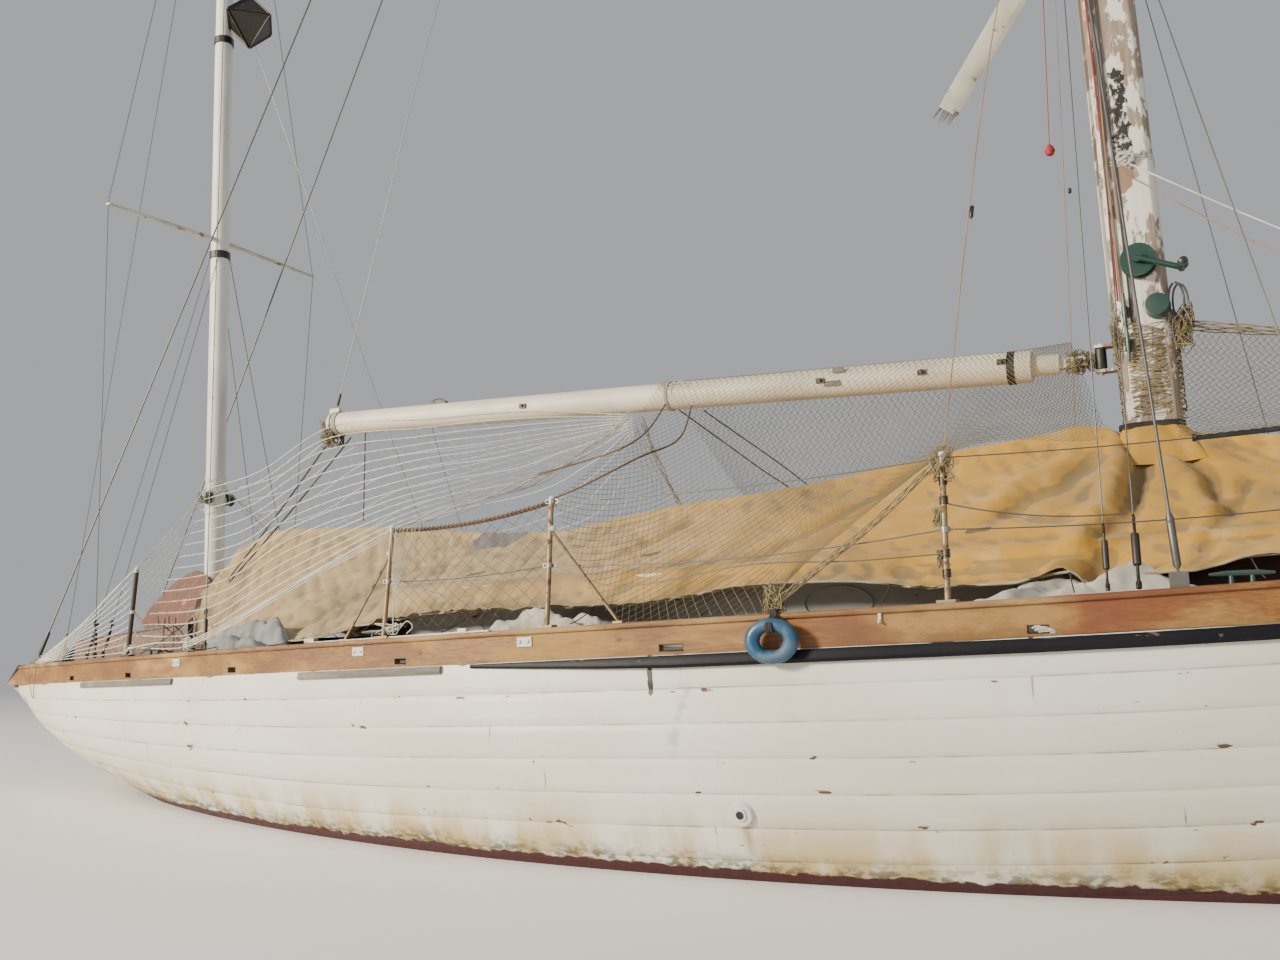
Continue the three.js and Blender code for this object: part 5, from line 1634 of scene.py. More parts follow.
@dataclass
class Net:
    """One net: a lattice of knots between an upper and a lower line, both given from end to end."""

    name: str
    finish: Finish
    upper: Sequence[Point]
    lower: Sequence[Point]
    columns: int
    rows: int
    radius: float
    weave: Weave = Weave.DIAMOND
    wrap: float = 0.0
    sag: float = 0.05
    ruffle: float = 0.02
    pull: Sequence[tuple[float, float]] = ()

    def knots(self, side: Side) -> np.ndarray:
        """Places the knots.

        Args:
            side: the side of the boat; the lines are given for starboard.

        Returns:
            Column by row by XYZ.
        """
        up, low = self._even(self.upper), self._even(self.lower)
        fall = np.linspace(0, 1, self.rows)
        made = np.array([self._column(top, foot, fall) for top, foot in zip(up, low)])
        for place, strength in self.pull:
            x = made[..., 0] - place
            made[..., 0] -= x * np.exp(-(x / 0.33) ** 2) * strength * (fall[None, :] ** 1.6)
        for i in range(self.columns):
            for j in range(1, self.rows - 1):
                x, y, z = made[i, j]
                edge = self.ruffle * math.sin(math.pi * j / (self.rows - 1))
                made[i, j, 1] += edge * noise.noise((x * 1.7, y * 2.0, z * 2.0 + side.value))
                made[i, j, 2] += edge * noise.noise((x * 2.1 + 9, y * 2.0, z * 1.6 + side.value)) * 0.7
        made[..., 1] *= -side.value
        return made

    def _even(self, line: Sequence[Point]) -> np.ndarray:
        """Points at the columns, evenly along a line's own parameter."""
        smooth = smooth_path(line, 12)
        return read_at(np.linspace(0, len(smooth) - 1, self.columns), np.arange(len(smooth)), smooth)

    def _column(self, top: np.ndarray, foot: np.ndarray, fall: np.ndarray) -> np.ndarray:
        """One column of knots, over the spar if the net wraps one, then down to the foot.

        Args:
            top: the spar's axis, or the upper line.
            foot: the lower line.
            fall: part of the way down for each row.

        Returns:
            The knots.
        """
        points = [top]
        if self.wrap:
            reach = foot[1:] - top[1:]
            far = max(float(np.hypot(*reach)), self.wrap * 1.2)
            leave = math.atan2(reach[1], -reach[0]) + math.acos(self.wrap / far)
            points = [top + self.wrap * np.array([0, -math.cos(turn), math.sin(turn)])
                      for turn in np.linspace(math.radians(97), leave, 8)]
        line = np.vstack([points, hanging(points[-1], foot, self.sag, 8)[1:]])
        far = distances(line)
        return read_at(fall * far[-1], far, line)

    def strands(self, knots: np.ndarray) -> list[tuple[np.ndarray, float]]:
        """The net's threads, each with its radius.

        Args:
            knots: column by row by XYZ.

        Returns:
            Paths and radii.
        """
        n, m = knots.shape[:2]
        if self.weave is Weave.DIAMOND:
            lines = [np.array([knots[start + way * j, j] for j in range(m) if 0 <= start + way * j < n])
                     for way in (1, -1) for start in range(-2 * m, n + 2 * m, 2)]
            return [(line, self.radius) for line in lines if len(line) > 1]
        wave = 0.0035 * np.cos(np.arange(n) * math.pi)
        rows = [knots[:, j] + np.outer(wave * way, (0, 0, 1)) for j in range(m) for way in (-1, 1)]
        zigs = [np.array([knots[min(i + j % 2, n - 1), j] for j in range(m)]) for i in range(0, n, 2)]
        return [(row, self.radius) for row in rows] + [(zig, self.radius * 0.42) for zig in zigs]

    def build(self, side: Side) -> bpy.types.Object:
        """Makes the net on one side.

        Args:
            side: the side of the boat.

        Returns:
            The object, which rides on nothing yet.
        """
        shape = Shape()
        for line, radius in self.strands(self.knots(side)):
            shape.tube(line, radius, 3, capped=False)
        return shape.made(f"{self.name}_{side.word}", self.finish, body=None, angle=180)


@dataclass
class Netting:
    """The nets from the boom to the rail, with their edge ropes and the bunches where they are gathered."""

    rail: RailLine

    def _foot(self, x: float, above: float = 0.02, inward: float = 0.03) -> np.ndarray:
        """A point on the starboard rail."""
        return self.rail.at(x, Side.STARBOARD, inward, above)

    def build(self) -> None:
        """Makes the nets and what holds them."""
        foot = self._foot
        post = {name: foot(x, high, 0.046) for name, x, high in (
            ("gate_aft", -2.02, 0.575), ("gate_fore", -0.975, 0.62), ("middle", 0.90, 0.6),
            ("fore", 3.1, 0.6))}
        fine = Net(
            "fine_net", OLIVE_TWINE,
            [*(boom_axis(x) for x in (-1.15, -0.4, 0.35, 0.95)), (1.28, 0.0, 2.47)],
            [post["gate_fore"], foot(-0.62, 0.02), foot(0.15, 0.03), post["middle"], (1.5, -1.55, 1.78)],
            150, 62, 0.0012, wrap=0.092, sag=0.07, pull=[(0.15, 0.75)])
        fore = Net(
            "fore_net", OLIVE_TWINE, [(1.80, -0.06, 2.56), (2.4, -0.03, 2.43), (3.1, -0.02, 2.28)],
            [(1.78, -1.5, 1.765), (2.45, -1.42, 1.80), post["fore"]], 74, 50, 0.0012, sag=0.10)
        white = Net(
            "white_net", WHITE_TWINE,
            [(-1.40, -0.03, 2.48), *((x, -0.085, boom_axis(x)[2] - 0.035) for x in (-2.2, -3.0, -3.88)),
             (-4.55, -0.11, 2.40), (-5.14, -0.09, 2.31)],
            [(-1.42, -0.12, 2.43), (-1.50, -0.85, 1.99), post["gate_aft"], (-3.0, -1.50, 1.32),
             foot(-3.85, 0.04), foot(-4.72, 0.06)],
            62, 15, 0.0017, weave=Weave.ROWS, sag=0.09, ruffle=0.03)
        stern = Net(
            "stern_net", WHITE_TWINE,
            [(-5.14, -0.09, 2.30), (-4.80, -1.02, 1.60), (-5.62, -0.80, 1.26), (-6.55, -0.50, 1.0)],
            [foot(-4.74, 0.05), foot(-4.80, 0.03), foot(-5.65, 0.02), foot(-6.58, 0.02)],
            40, 11, 0.0016, weave=Weave.ROWS, sag=0.03)
        gate = Net(
            "gate_net", DARK_TWINE,
            [post["gate_aft"] + [0.06, 0, -0.01], (-1.5, -1.60, 1.655), post["gate_fore"]],
            [foot(-1.95, 0.05), foot(-1.5, 0.04), foot(-1.0, 0.05)],
            24, 16, 0.0011, sag=0.0, ruffle=0.06)
        for side in Side:
            for net, swings in ((fine, True), (fore, False), (white, True), (stern, False), (gate, False)):
                made = net.build(side)
                if swings:
                    self._bend(made, side, (-1.0, 1.5, 1.75), (-1.0, 0.12, 2.45))
                else:
                    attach(made, HULL)
            self._edges(side, post)
        self._bunches()

    @staticmethod
    def _bend(made: bpy.types.Object, side: Side, low: Point, high: Point) -> None:
        """Bakes the piece's transform into its mesh; its shape stays as made.

        Args:
            made: the piece.
            side: the side of the boat; not used.
            low: where it would follow the hull, with Y outwards; not used.
            high: where it would follow the boom, with Y outwards; not used.
        """
        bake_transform(made)

    def _edges(self, side: Side, post: dict[str, np.ndarray]) -> None:
        """The ropes along the nets' edges.

        Args:
            side: the side of the boat.
            post: tops of the starboard stanchions.
        """
        flip = np.array([1, -side.value, 1])
        foot = self._foot
        white, brown, low, dark, tail = Shape(), Shape(), Shape(), Shape(), Shape()
        edge = smooth_path([(-1.36, -0.09, 2.47), (-1.42, -0.45, 2.22), (-1.50, -0.92, 1.985),
                            (-1.72, -1.35, 1.80), post["gate_aft"] + [0.02, 0, 0.02]], 8)
        step = np.arange(len(edge))
        for k, thick in enumerate((0.0045, 0.0032, 0.0032, 0.0025)):
            drift = (np.sin(step * 0.9 + k * 2) * 0.009, 0 * step,
                     np.cos(step * 0.7 + k * 1.7) * 0.013 - 0.012 * k)
            white.tube((edge + np.transpose(drift)) * flip, thick, 5)
        for points in (
                [(-1.10, -0.088, 2.50), (-0.86, -0.80, 2.20), (-0.74, -1.30, 2.02), (-1.05, -1.15, 2.0),
                 (-1.49, -0.95, 1.99)],
                [(-0.92, -0.088, 2.47), (-0.60, -0.95, 2.10), (-0.58, -1.45, 1.93), (-0.84, -1.58, 1.79),
                 post["gate_fore"]]):
            brown.tube(smooth_path(points, 8) * flip, 0.005, 6)
        self._bend(white.made(f"white_edge_ropes_{side.word}", WHITE_ROPE, body=None), side,
                   (-1.7, 1.5, 1.8), (-1.4, 0.12, 2.45))
        self._bend(brown.made(f"brown_edge_ropes_{side.word}", BROWN_ROPE, body=None), side,
                   (-0.9, 1.5, 1.9), (-1.0, 0.1, 2.47))
        aft = smooth_path([post["gate_aft"], (-2.6, -1.56, 1.46), (-3.3, -1.48, 1.22), foot(-3.95, 0.05)], 8)
        for k in range(3):
            low.tube((aft + [0, 0.006 * k, -0.012 * k]) * flip, 0.0035, 5)
        for points, steps in (
                ([(-5.16, -0.095, 2.32), (-4.98, -0.62, 1.86), (-4.74, -1.05, 1.605), (-5.2, -0.93, 1.42),
                  (-5.62, -0.80, 1.25), foot(-6.6, 0.01)], 8),
                ([foot(-3.9, 0.06), (-4.3, -1.22, 1.10), foot(-4.72, 0.05)], 6)):
            low.tube(smooth_path(points, steps) * flip, 0.004, 5)
        diagonal = smooth_path([post["middle"], (0.62, -1.61, 1.52), (0.36, -1.63, 1.33),
                                foot(0.16, 0.04)], 8)
        crest = smooth_path([(1.79, -0.06, 2.58), (2.4, -0.03, 2.44), (3.1, -0.02, 2.29)], 10)
        for line, count, sway, lift, later, thick, sides in (
                (diagonal, 5, 0.012, 0.012, 1.3, 0.0028, 4), (crest, 4, 0.0, 0.014, 1.6, 0.003, 4)):
            step = np.arange(len(line))
            for k in range(count):
                swirl = (np.sin(step * 0.6 + k * later) * sway, np.cos(step * 0.5 + k) * 0.008,
                         np.cos(step * 0.6 + k * later) * lift)
                dark.tube((line + np.transpose(swirl)) * flip, thick, sides)
        low.made(f"white_low_ropes_{side.word}", WHITE_ROPE)
        dark.made(f"gathered_edge_{side.word}", OLIVE_TWINE)
        knot = np.array([-1.985, -1.60, 1.30])
        for k in range(8):
            top = np.array([-2.0 + 0.028 * k, -1.60 + 0.004 * (k % 3), 1.685 - 0.003 * k])
            tail.tube(hanging(top * flip, knot * flip, -0.008 + 0.004 * (k % 3), 6), 0.0018, 4)
        tail.tube(hanging(knot * flip, foot(-2.0, 0.02) * flip, 0.0, 4), 0.004, 5)
        tail.made(f"gathered_tail_{side.word}", WHITE_ROPE)

    @staticmethod
    def _tangle(shape: Shape, centre: Point, spread: Point, count: int, thick: float) -> None:
        """Loose turns of twine heaped in one place.

        Args:
            shape: what they are added to.
            centre: the middle of the heap.
            spread: how far it reaches each way.
            count: how many loops.
            thick: the twine's radius.
        """
        for _ in range(count):
            turn = np.array([drawn(*((-s, s) for s in spread)) for _ in range(5)])
            shape.line(np.vstack([turn, turn[:1]]) + np.asarray(centre), thick, 4, 4)

    @staticmethod
    def _wound(shape: Shape, turns: int, centre: Point, reach: tuple[float, float], rise: float,
               wave: tuple[float, float, float], thick: float, steps: int) -> None:
        """Twine wound unevenly round a mast.

        Args:
            shape: what it is added to.
            turns: how many turns.
            centre: the mast's axis at the first turn.
            reach: the turns' half length and half width.
            rise: how much the turns climb, a radian.
            wave: how often, from where and how far they wander up and down.
            thick: the twine's radius.
            steps: points in all.
        """
        turn = np.linspace(0, turns * 2 * math.pi, steps)
        often, start, far = wave
        x, y, z = centre
        shape.tube(np.stack([x + np.cos(turn) * reach[0], y + np.sin(turn) * reach[1],
                             z + np.sin(turn * often + start) * far + turn * rise], axis=1), thick, 4)

    def _bunches(self) -> None:
        """Heaps of net at the boom's ends, on the stanchions, round the masts and on the rail."""
        ends, fixed, pale = Shape(), Shape(), Shape()
        for x, reach in ((1.28, 0.035), (1.32, 0.04), (1.365, 0.028)):
            self._tangle(ends, (x, 0.0, 2.45), (reach, reach * 1.6, reach * 1.7), 15, 0.0024)
        self._tangle(ends, (-3.93, -0.03, 2.62), (0.07, 0.06, 0.11), 26, 0.003)
        ends.made("net_bunch_boom", OLIVE_TWINE, body=BOOM)
        for side in Side:
            for x, high, reach in ((0.90, 0.58, 0.05), (0.87, 0.35, 0.026), (0.88, 0.18, 0.024),
                                   (0.15, 0.05, 0.05)):
                at = self.rail.at(x, side, 0.05, high)
                self._tangle(fixed, at, (reach, reach * 0.7, reach * 1.6), 16, 0.0022)
            for x, high, reach in ((-2.03, 0.56, 0.035), (-4.73, 0.04, 0.05), (-3.92, 0.05, 0.06),
                                   (-0.98, 0.60, 0.02)):
                at = self.rail.at(x, side, 0.06, high)
                self._tangle(pale, at, (reach, reach * 0.7, reach * 0.8), 12, 0.002)
        for turns, x, z in ((9, 1.645, 2.36), (7, 1.647, 2.22), (11, 1.646, 2.27), (12, 1.643, 2.45),
                            (8, 1.649, 2.12)):
            self._wound(fixed, turns, (x, 0, z), (0.152, 0.118), 0.0016, (1.7, z * 9, 0.035), 0.003,
                        turns * 20)
        self._tangle(fixed, (1.52, -0.05, 2.54), (0.045, 0.06, 0.14), 30, 0.0024)
        self._tangle(fixed, (1.82, -0.05, 2.55), (0.05, 0.09, 0.12), 26, 0.0024)
        self._wound(pale, 11, (-5.172, 0, 2.12), (0.083, 0.083), 0.0042, (2.3, 0, 0.03), 0.0024, 200)
        fixed.made("net_bunches", OLIVE_TWINE)
        pale.made("white_net_bunches", WHITE_TWINE)


@dataclass
class MastLines:
    """Axes of both masts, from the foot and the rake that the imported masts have."""

    main_foot: float = 1.67
    main_rake: float = math.radians(1.1)
    mizzen_foot: float = -5.15
    mizzen_rake: float = math.radians(0.95)

    def main(self, z: float, aft: float = 0.0, side: float = 0.0) -> np.ndarray:
        """A point at a height near the main mast: so far aft of its axis, and at that Y."""
        return np.array([self.main_foot - (z - 1.0) * math.tan(self.main_rake) - aft, side, z])

    def mizzen(self, z: float, aft: float = 0.0, side: float = 0.0) -> np.ndarray:
        """A point at a height near the mizzen mast, as for main()."""
        return np.array([self.mizzen_foot - (z - 1.0) * math.tan(self.mizzen_rake) - aft, side, z])

    def beside(self, z: float, aft: float) -> np.ndarray:
        """A point on the main mast's starboard face, which narrows above 6 m."""
        taper = 1.0 if z < 6 else 1 - 0.05 * (z - 6)
        return self.main(z, aft * taper, -0.101 * taper - 0.006)


@dataclass
class Rigging:
    """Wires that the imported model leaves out, with their rigging screws, and the running lines aloft."""

    rail: RailLine
    masts: MastLines
    wire: float = 0.0032
    heavy: tuple[float, float] = (0.016, 0.3)
    usual: tuple[float, float] = (0.0125, 0.26)
    light: tuple[float, float] = (0.007, 0.2)
    foot_lift: float = 0.012

    def build(self) -> None:
        """Makes the wires, screws and lines."""
        self._mizzen()
        self._main()
        self._lines()
        self._halyards()
        self._topping_lift()

    @staticmethod
    def _screw(shape: Shape, foot: np.ndarray, towards: Point, size: tuple[float, float]) -> np.ndarray:
        """A rigging screw standing on the rail.

        Args:
            shape: what it is added to.
            foot: its lower end.
            towards: a point up its wire.
            size: its radius and length.

        Returns:
            The point where the wire starts.
        """
        r, far = size
        along = unit(np.asarray(towards, float) - foot)
        shape.turned(foot, along, [
            (-0.004, r * 0.7), (0.02, r * 0.7), (0.03, r * 0.4), (far * 0.3, r * 0.4),
            (far * 0.31, r * 0.9), (far * 0.34, r), (far * 0.72, r), (far * 0.75, r * 0.9),
            (far * 0.76, r * 0.4), (far, r * 0.4)], 12)
        for lift in (0.02, far * 0.94):
            shape.ring(foot + along * lift, square_to(along)[1], r * 1.1, r * 0.33, 1.3, 6)
        return foot + along * far

    def _stays(self, name: str, stays: Callable[[int], Sequence[tuple]]) -> None:
        """Wires from their screws on the rail, on both sides.

        Args:
            name: the pieces' first word.
            stays: for a side's sign, each stay's x on the rail, its screw's size and its points above.
        """
        wires, screws = Shape(), Shape()
        for side in Side:
            for x, size, *over in stays(side.value):
                foot = self.rail.at(x, side, above=self.foot_lift)
                wires.tube([self._screw(screws, foot, over[0], size), *over], self.wire, 6)
        wires.made(f"{name}_wires", WIRE)
        screws.made(f"{name}_rigging_screws", DARK_STEEL)

    def _mizzen(self) -> None:
        """Mizzen shrouds, lower shrouds, forward shrouds and a thin stay each side, and its winches."""
        at = self.masts.mizzen
        self._stays("mizzen", lambda s: (
            (-5.30, self.usual, (-5.2, s * 1.045, 4.372), at(9.37, 0, s * 0.052)),
            (-5.46, self.usual, at(4.26, 0.055, s * 0.045)), (-5.16, self.usual, at(4.26, -0.05, s * 0.05)),
            (-3.72, self.usual, at(6.72, -0.045, s * 0.045)), (-5.95, self.light, at(9.30, 0.03, s * 0.04))))
        bands, winch = Shape(), Shape()
        for z, r in ((9.37, 0.056), (6.72, 0.073), (6.16, 0.075), (4.26, 0.077)):
            profile = [(-0.03, r), (-0.028, r + 0.004), (0.028, r + 0.004), (0.03, r)]
            bands.turned(at(z), (-0.0166, 0, 1), profile, 24)
        bands.made("mizzen_bands", DARK_STEEL)
        for side in Side:
            winch.turned(at(2.24, -0.01, side.value * 0.072), (0, side.value, 0), [
                (0, 0.052), (0.012, 0.054), (0.02, 0.036), (0.05, 0.034), (0.062, 0.05), (0.074, 0.05),
                (0.08, 0.02), (0.1, 0.018)], 22)
        winch.made("mizzen_winches", GREEN)

    def _main(self) -> None:
        """Lower and forward shrouds of the main mast, and its bands."""
        at = self.masts.main
        self._stays("main", lambda s: (
            (1.60, self.heavy, at(5.12, 0.06, s * 0.097)), (2.34, self.heavy, at(5.16, -0.09, s * 0.097)),
            (1.49, self.usual, at(9.58, 0.06, s * 0.09))))
        bands = Shape()
        for z, long, wide in ((5.22, 0.268, 0.196), (9.66, 0.25, 0.18)):
            self._round_mast(bands, z, long, wide, (-0.024, -0.012, 0, 0.012, 0.024), 0.007)
        bands.made("main_mast_bands", DARK_STEEL)

    def _round_mast(self, shape: Shape, z: float, long: float, wide: float, lifts: Sequence[float],
                    thick: float) -> None:
        """Rings close round the main mast.

        Args:
            shape: what they are added to.
            z: their middle height.
            long: the mast's length there, fore and aft.
            wide: its width.
            lifts: each ring's height over the middle.
            thick: their radius.
        """
        for lift in lifts:
            points = [squared(turn, 0.45) for turn in round_trip(40)]
            shape.tube([self.masts.main(z) + [c * long / 2, s * wide / 2, lift] for c, s in points],
                       thick, 6, loop=True)

    def _lines(self) -> None:
        """The lines that hang by the main mast's spreaders, with their clips and the red ball."""
        lines, pale, red, clip = Shape(), Shape(), Shape(), Shape()
        at, rail = self.masts.main, self.rail.at
        lines.line([(1.50, -1.02, 5.29), (1.21, -1.34, 3.76), (1.061, -1.48, 2.835),
                    rail(0.90, Side.STARBOARD, above=0.56)], 0.0028)
        lines.line([(1.42, 0.80, 9.73), (1.22, 1.38, 5.31), (1.12, 1.42, 2.33),
                    rail(1.06, Side.PORT, above=0.02)], 0.0028)
        end = rail(3.10, Side.STARBOARD, above=0.56)
        pale.line([at(3.47, 0.02, -0.115), (2.24, -0.36, 2.90), (2.75, -0.66, 2.45), end], 0.0042)
        lines.line([at(3.40, 0.02, -0.115), (2.24, -0.36, 2.77), (2.75, -0.66, 2.33), end], 0.0030)
        self._round_mast(pale, 3.47, 0.262, 0.19, (-0.012, 0.004), 0.005)
        red.line([(1.47, 0.55, 9.70), (1.32, 0.40, 6.9), (1.215, 0.335, 3.83)], 0.0025, 8)
        clip.turned((1.075, -1.47, 2.86), (-0.12, -0.12, -0.98),
                    [(0, 0.004), (0.006, 0.009), (0.05, 0.009), (0.06, 0.004)], 10)
        clip.turned((1.21, 1.36, 3.92), (0, 0, 1),
                    [(-0.02, 0.004), (-0.012, 0.012), (0.012, 0.012), (0.02, 0.004)], 12)
        lines.made("flag_lines", TAN_ROPE)
        pale.made("mast_fore_line", WHITE_ROPE)
        clip.made("line_clips", BLACK_RUBBER)
        red.made("red_line", RED_ROPE)
        ball = [(0.0, 0.006), (0.006, 0.02), (0.03, 0.03), (0.055, 0.02), (0.07, 0.006)]
        Shape().turned((1.215, 0.335, 3.76), (0, 0, 1), ball).made("red_ball", RED_PLASTIC)

    def _halyards(self) -> None:
        """Halyards down the mast's starboard face, their cleats, the spare line and the second winch."""
        beside = self.masts.beside
        for name, aft, finish, low in (("red_halyard", 0.105, RED_ROPE, 2.72),
                                       ("tan_halyard", 0.086, TAN_ROPE, 2.66),
                                       ("tan_halyard_second", 0.055, DARK_ROPE, 2.60)):
            path = [beside(z, aft + 0.004 * math.sin(z * 2.1 + aft * 90))
                    for z in np.linspace(low, 14.6, 40)]
            Shape().tube(path, 0.0052, 6).made(name, finish)
        cleats, coil, knot = Shape(), Shape(), Shape()
        for z in (2.66, 2.48):
            foot = beside(z, 0.08)
            cleats.block(foot, (0.03, 0.03, 0.05))
            cleats.tube([foot + [0, -0.024, -0.09], foot + [0, -0.03, 0], foot + [0, -0.024, 0.09]],
                        (0.006, 0.011, 0.006), 8)
        for k in range(2):
            middle = np.array([1.80 + 0.018 * k, -0.10 - 0.004 * k, 2.675 - 0.012 * k])
            coil.line([middle + [math.sin(t) * 0.035, math.cos(t * 2) * 0.012, math.cos(t) * 0.105]
                       for t in np.linspace(0, 6.0, 14)], 0.0055, 3)
        cleats.made("mast_cleats", GREEN)
        coil.made("cable_loops", BLACK_RUBBER)
        drum = [(0, 0.06), (0.014, 0.062), (0.022, 0.035), (0.06, 0.034), (0.074, 0.055), (0.086, 0.055),
                (0.09, 0.02)]
        winch = Shape().turned(self.masts.main(2.66, -0.075, -0.096), (0, -1, 0), drum, 24)
        winch.made("second_mast_winch", GREEN)
        centre = self.masts.main(3.47, 0.0, -0.11)
        for _ in range(7):
            knot.line([centre + drawn((-0.04, 0.05), (-0.03, 0.0), (-0.035, 0.035)) for _ in range(5)],
                      0.006, 5)
        knot.made("mast_knot", WHITE_ROPE)
        grip = [(0, 0.018), (0.004, 0.0215), (0.08, 0.0205), (0.086, 0.012)]
        Shape().turned((1.85, -0.215, 2.826), (0, -1, 0), grip).made("crank_grip", BLACK_RUBBER)

    @staticmethod
    def _topping_lift() -> None:
        """The wire that holds the boom's end up, and the shackle at its foot on the boom."""
        path = [(-3.90, 0.0, 2.825), (-3.40, 0, 4.45), (-2.94, 0, 5.86), (-1.55, 0, 9.6), (1.36, 0, 15.6)]
        lift = Shape().line(path, 0.003, 8).made("topping_lift", WIRE, body=None)
        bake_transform(lift)
        end = Shape().ring((-3.90, 0, 2.815), (0, 1, 0), 0.016, 0.004, 1.3, 6)
        end.turned((-3.895, 0, 2.84), (0.3, 0, 0.95),
                   [(0, 0.004), (0.01, 0.009), (0.09, 0.009), (0.1, 0.004)], 10)
        end.made("topping_lift_shackle", DARK_STEEL, body=BOOM)


@dataclass
class GuardRails:
    """Lifelines between the stanchions, with eyes, knobs, chain and wrapping."""

    rail: RailLine
    posts: dict[str, tuple[float, float, float]] = field(default_factory=lambda: {
        "aft": (-4.74, 0.06, 0.59), "gate_aft": (-2.08, 0.055, 0.585), "gate_fore": (-1.01, 0.035, 0.622),
        "middle": (0.89, 0.012, 0.61), "fore": (3.1, 0.0, 0.6)})

    def _post(self, x: float, lean: float, side: Side, above: float) -> np.ndarray:
        """A point on a stanchion, at that height over the rail, whose top leans forward."""
        return self.rail.at(x, side, above=above) + [lean * above / 0.6, 0, 0]

    def build(self) -> None:
        """Makes the lines and the stanchions' small parts."""
        shapes = {name: Shape() for name in ("lines", "eyes", "knobs", "chain", "dark")}
        for side in Side:
            self._fittings(side, shapes["eyes"], shapes["knobs"])
            self._lifelines(side, shapes["lines"], shapes["chain"], shapes["dark"])
        shapes["lines"].made("lifelines", WIRE)
        shapes["eyes"].made("stanchion_eyes", STEEL)
        shapes["knobs"].made("stanchion_knobs", WHITE_PLASTIC)
        shapes["chain"].made("gate_ropes", BROWN_ROPE)
        shapes["dark"].made("lifeline_wrapping", BLACK_RUBBER)

    def _fittings(self, side: Side, eyes: Shape, knobs: Shape) -> None:
        """Eyes and knobs on the stanchions of one side.

        Args:
            side: the side of the boat.
            eyes: what the eyes are added to.
            knobs: what the knobs are added to.
        """
        for name, (x, lean, high) in self.posts.items():
            for above in (0.30, high - 0.012):
                at = self._post(x, lean, side, above)
                r = 0.017 if name == "aft" else 0.0145
                profile = [(0, r), (0.001, r + 0.003), (0.023, r + 0.003), (0.024, r)]
                eyes.turned(at - [0, 0, 0.012], (0, 0, 1), profile, 16)
                for way in (-1, 1):
                    eyes.ring(at + [way * (r + 0.012), 0, 0], (0, 1, 0), 0.010, 0.0028, 1.0, 6)
            cap = self._post(x, lean, side, high)
            knobs.turned(cap - [0, 0, 0.003], (0, 0, 1),
                         [(0, 0.0155), (0.012, 0.0155), (0.017, 0.010), (0.019, 0.0)], 14)
        for name, way in (("gate_aft", -1), ("gate_fore", 1)):
            x, lean, high = self.posts[name]
            ball = self.rail.at(x, side, above=high * 0.76) + [lean * 0.8 + 0.01 * way, 0, 0.004]
            knobs.turned(ball - [0, 0, 0.016], (0, 0, 1),
                         [(0, 0.006), (0.006, 0.014), (0.016, 0.018), (0.027, 0.013), (0.033, 0.004)], 14)

    def _lifelines(self, side: Side, lines: Shape, chain: Shape, dark: Shape) -> None:
        """Slack lines, the gate's rope and the dark wrapping of one side.

        Args:
            side: the side of the boat.
            lines: what the lines are added to.
            chain: what the gate's rope is added to.
            dark: what the wrapping is added to.
        """
        top = {name: self._post(x, lean, side, high - 0.012) for name, (x, lean, high) in self.posts.items()}
        mid = {name: self._post(x, lean, side, 0.30) for name, (x, lean, _) in self.posts.items()}
        self._twist(chain, hanging(top["gate_aft"], top["gate_fore"], 0.035, 40), 0.008, 0.0055, 0.055)
        for a, b, sag in (
                (mid["gate_aft"], mid["gate_fore"], 0.02), (top["gate_fore"], top["middle"], 0.03),
                (mid["gate_fore"], mid["middle"], 0.045), (top["middle"], top["fore"], 0.035),
                (mid["gate_aft"] + [0.0, 0, 0.03], self._post(-1.35, 0, side, 0.11), 0.01),
                (mid["middle"], mid["fore"], 0.05), (mid["aft"], self._post(-3.9, 0, side, 0.05), 0.03),
                (mid["middle"] + [0, 0, 0.11], self._post(1.58, 0, side, 0.30), 0.03),
                (top["fore"], (5.95, side.value * 0.05, 1.47), 0.04)):
            lines.tube(hanging(a, b, sag, 18), 0.0029, 6)
        lines.line([mid["gate_fore"], self._post(-0.6, 0, side, 0.17), self._post(0.04, 0, side, 0.22),
                    self._post(0.5, 0, side, 0.20), mid["middle"] + [0, 0, -0.1]], 0.0028)
        part = hanging(top["middle"], top["fore"], 0.035, 40)[17:31]
        dark.tube(part, 0.011, 8)
        for end in (part[0], part[-1]):
            dark.lashing(end, part[1] - part[0], 0.011, 0.002, 3)
        for above in (0.12, 0.2, 0.42, 0.5):
            dark.lashing(self._post(0.89, 0.012, side, above), (0, 0, 1), 0.0135, 0.0026, 6)

    @staticmethod
    def _twist(shape: Shape, path: np.ndarray, reach: float, thick: float, pitch: float) -> None:
        """Two strands laid round each other.

        Args:
            shape: what they are added to.
            path: the middle line.
            reach: each strand's distance from it.
            thick: each strand's radius.
            pitch: length of one turn.
        """
        far = distances(path)
        at = np.arange(0, far[-1], pitch / 8)
        u, v = square_to(path[-1] - path[0])
        for start in (0.0, math.pi):
            turn = at / pitch * 2 * math.pi + start
            swing = np.outer(np.cos(turn), u) + np.outer(np.sin(turn), v)
            shape.tube(read_at(at, far, path) + reach * swing, thick, 6)


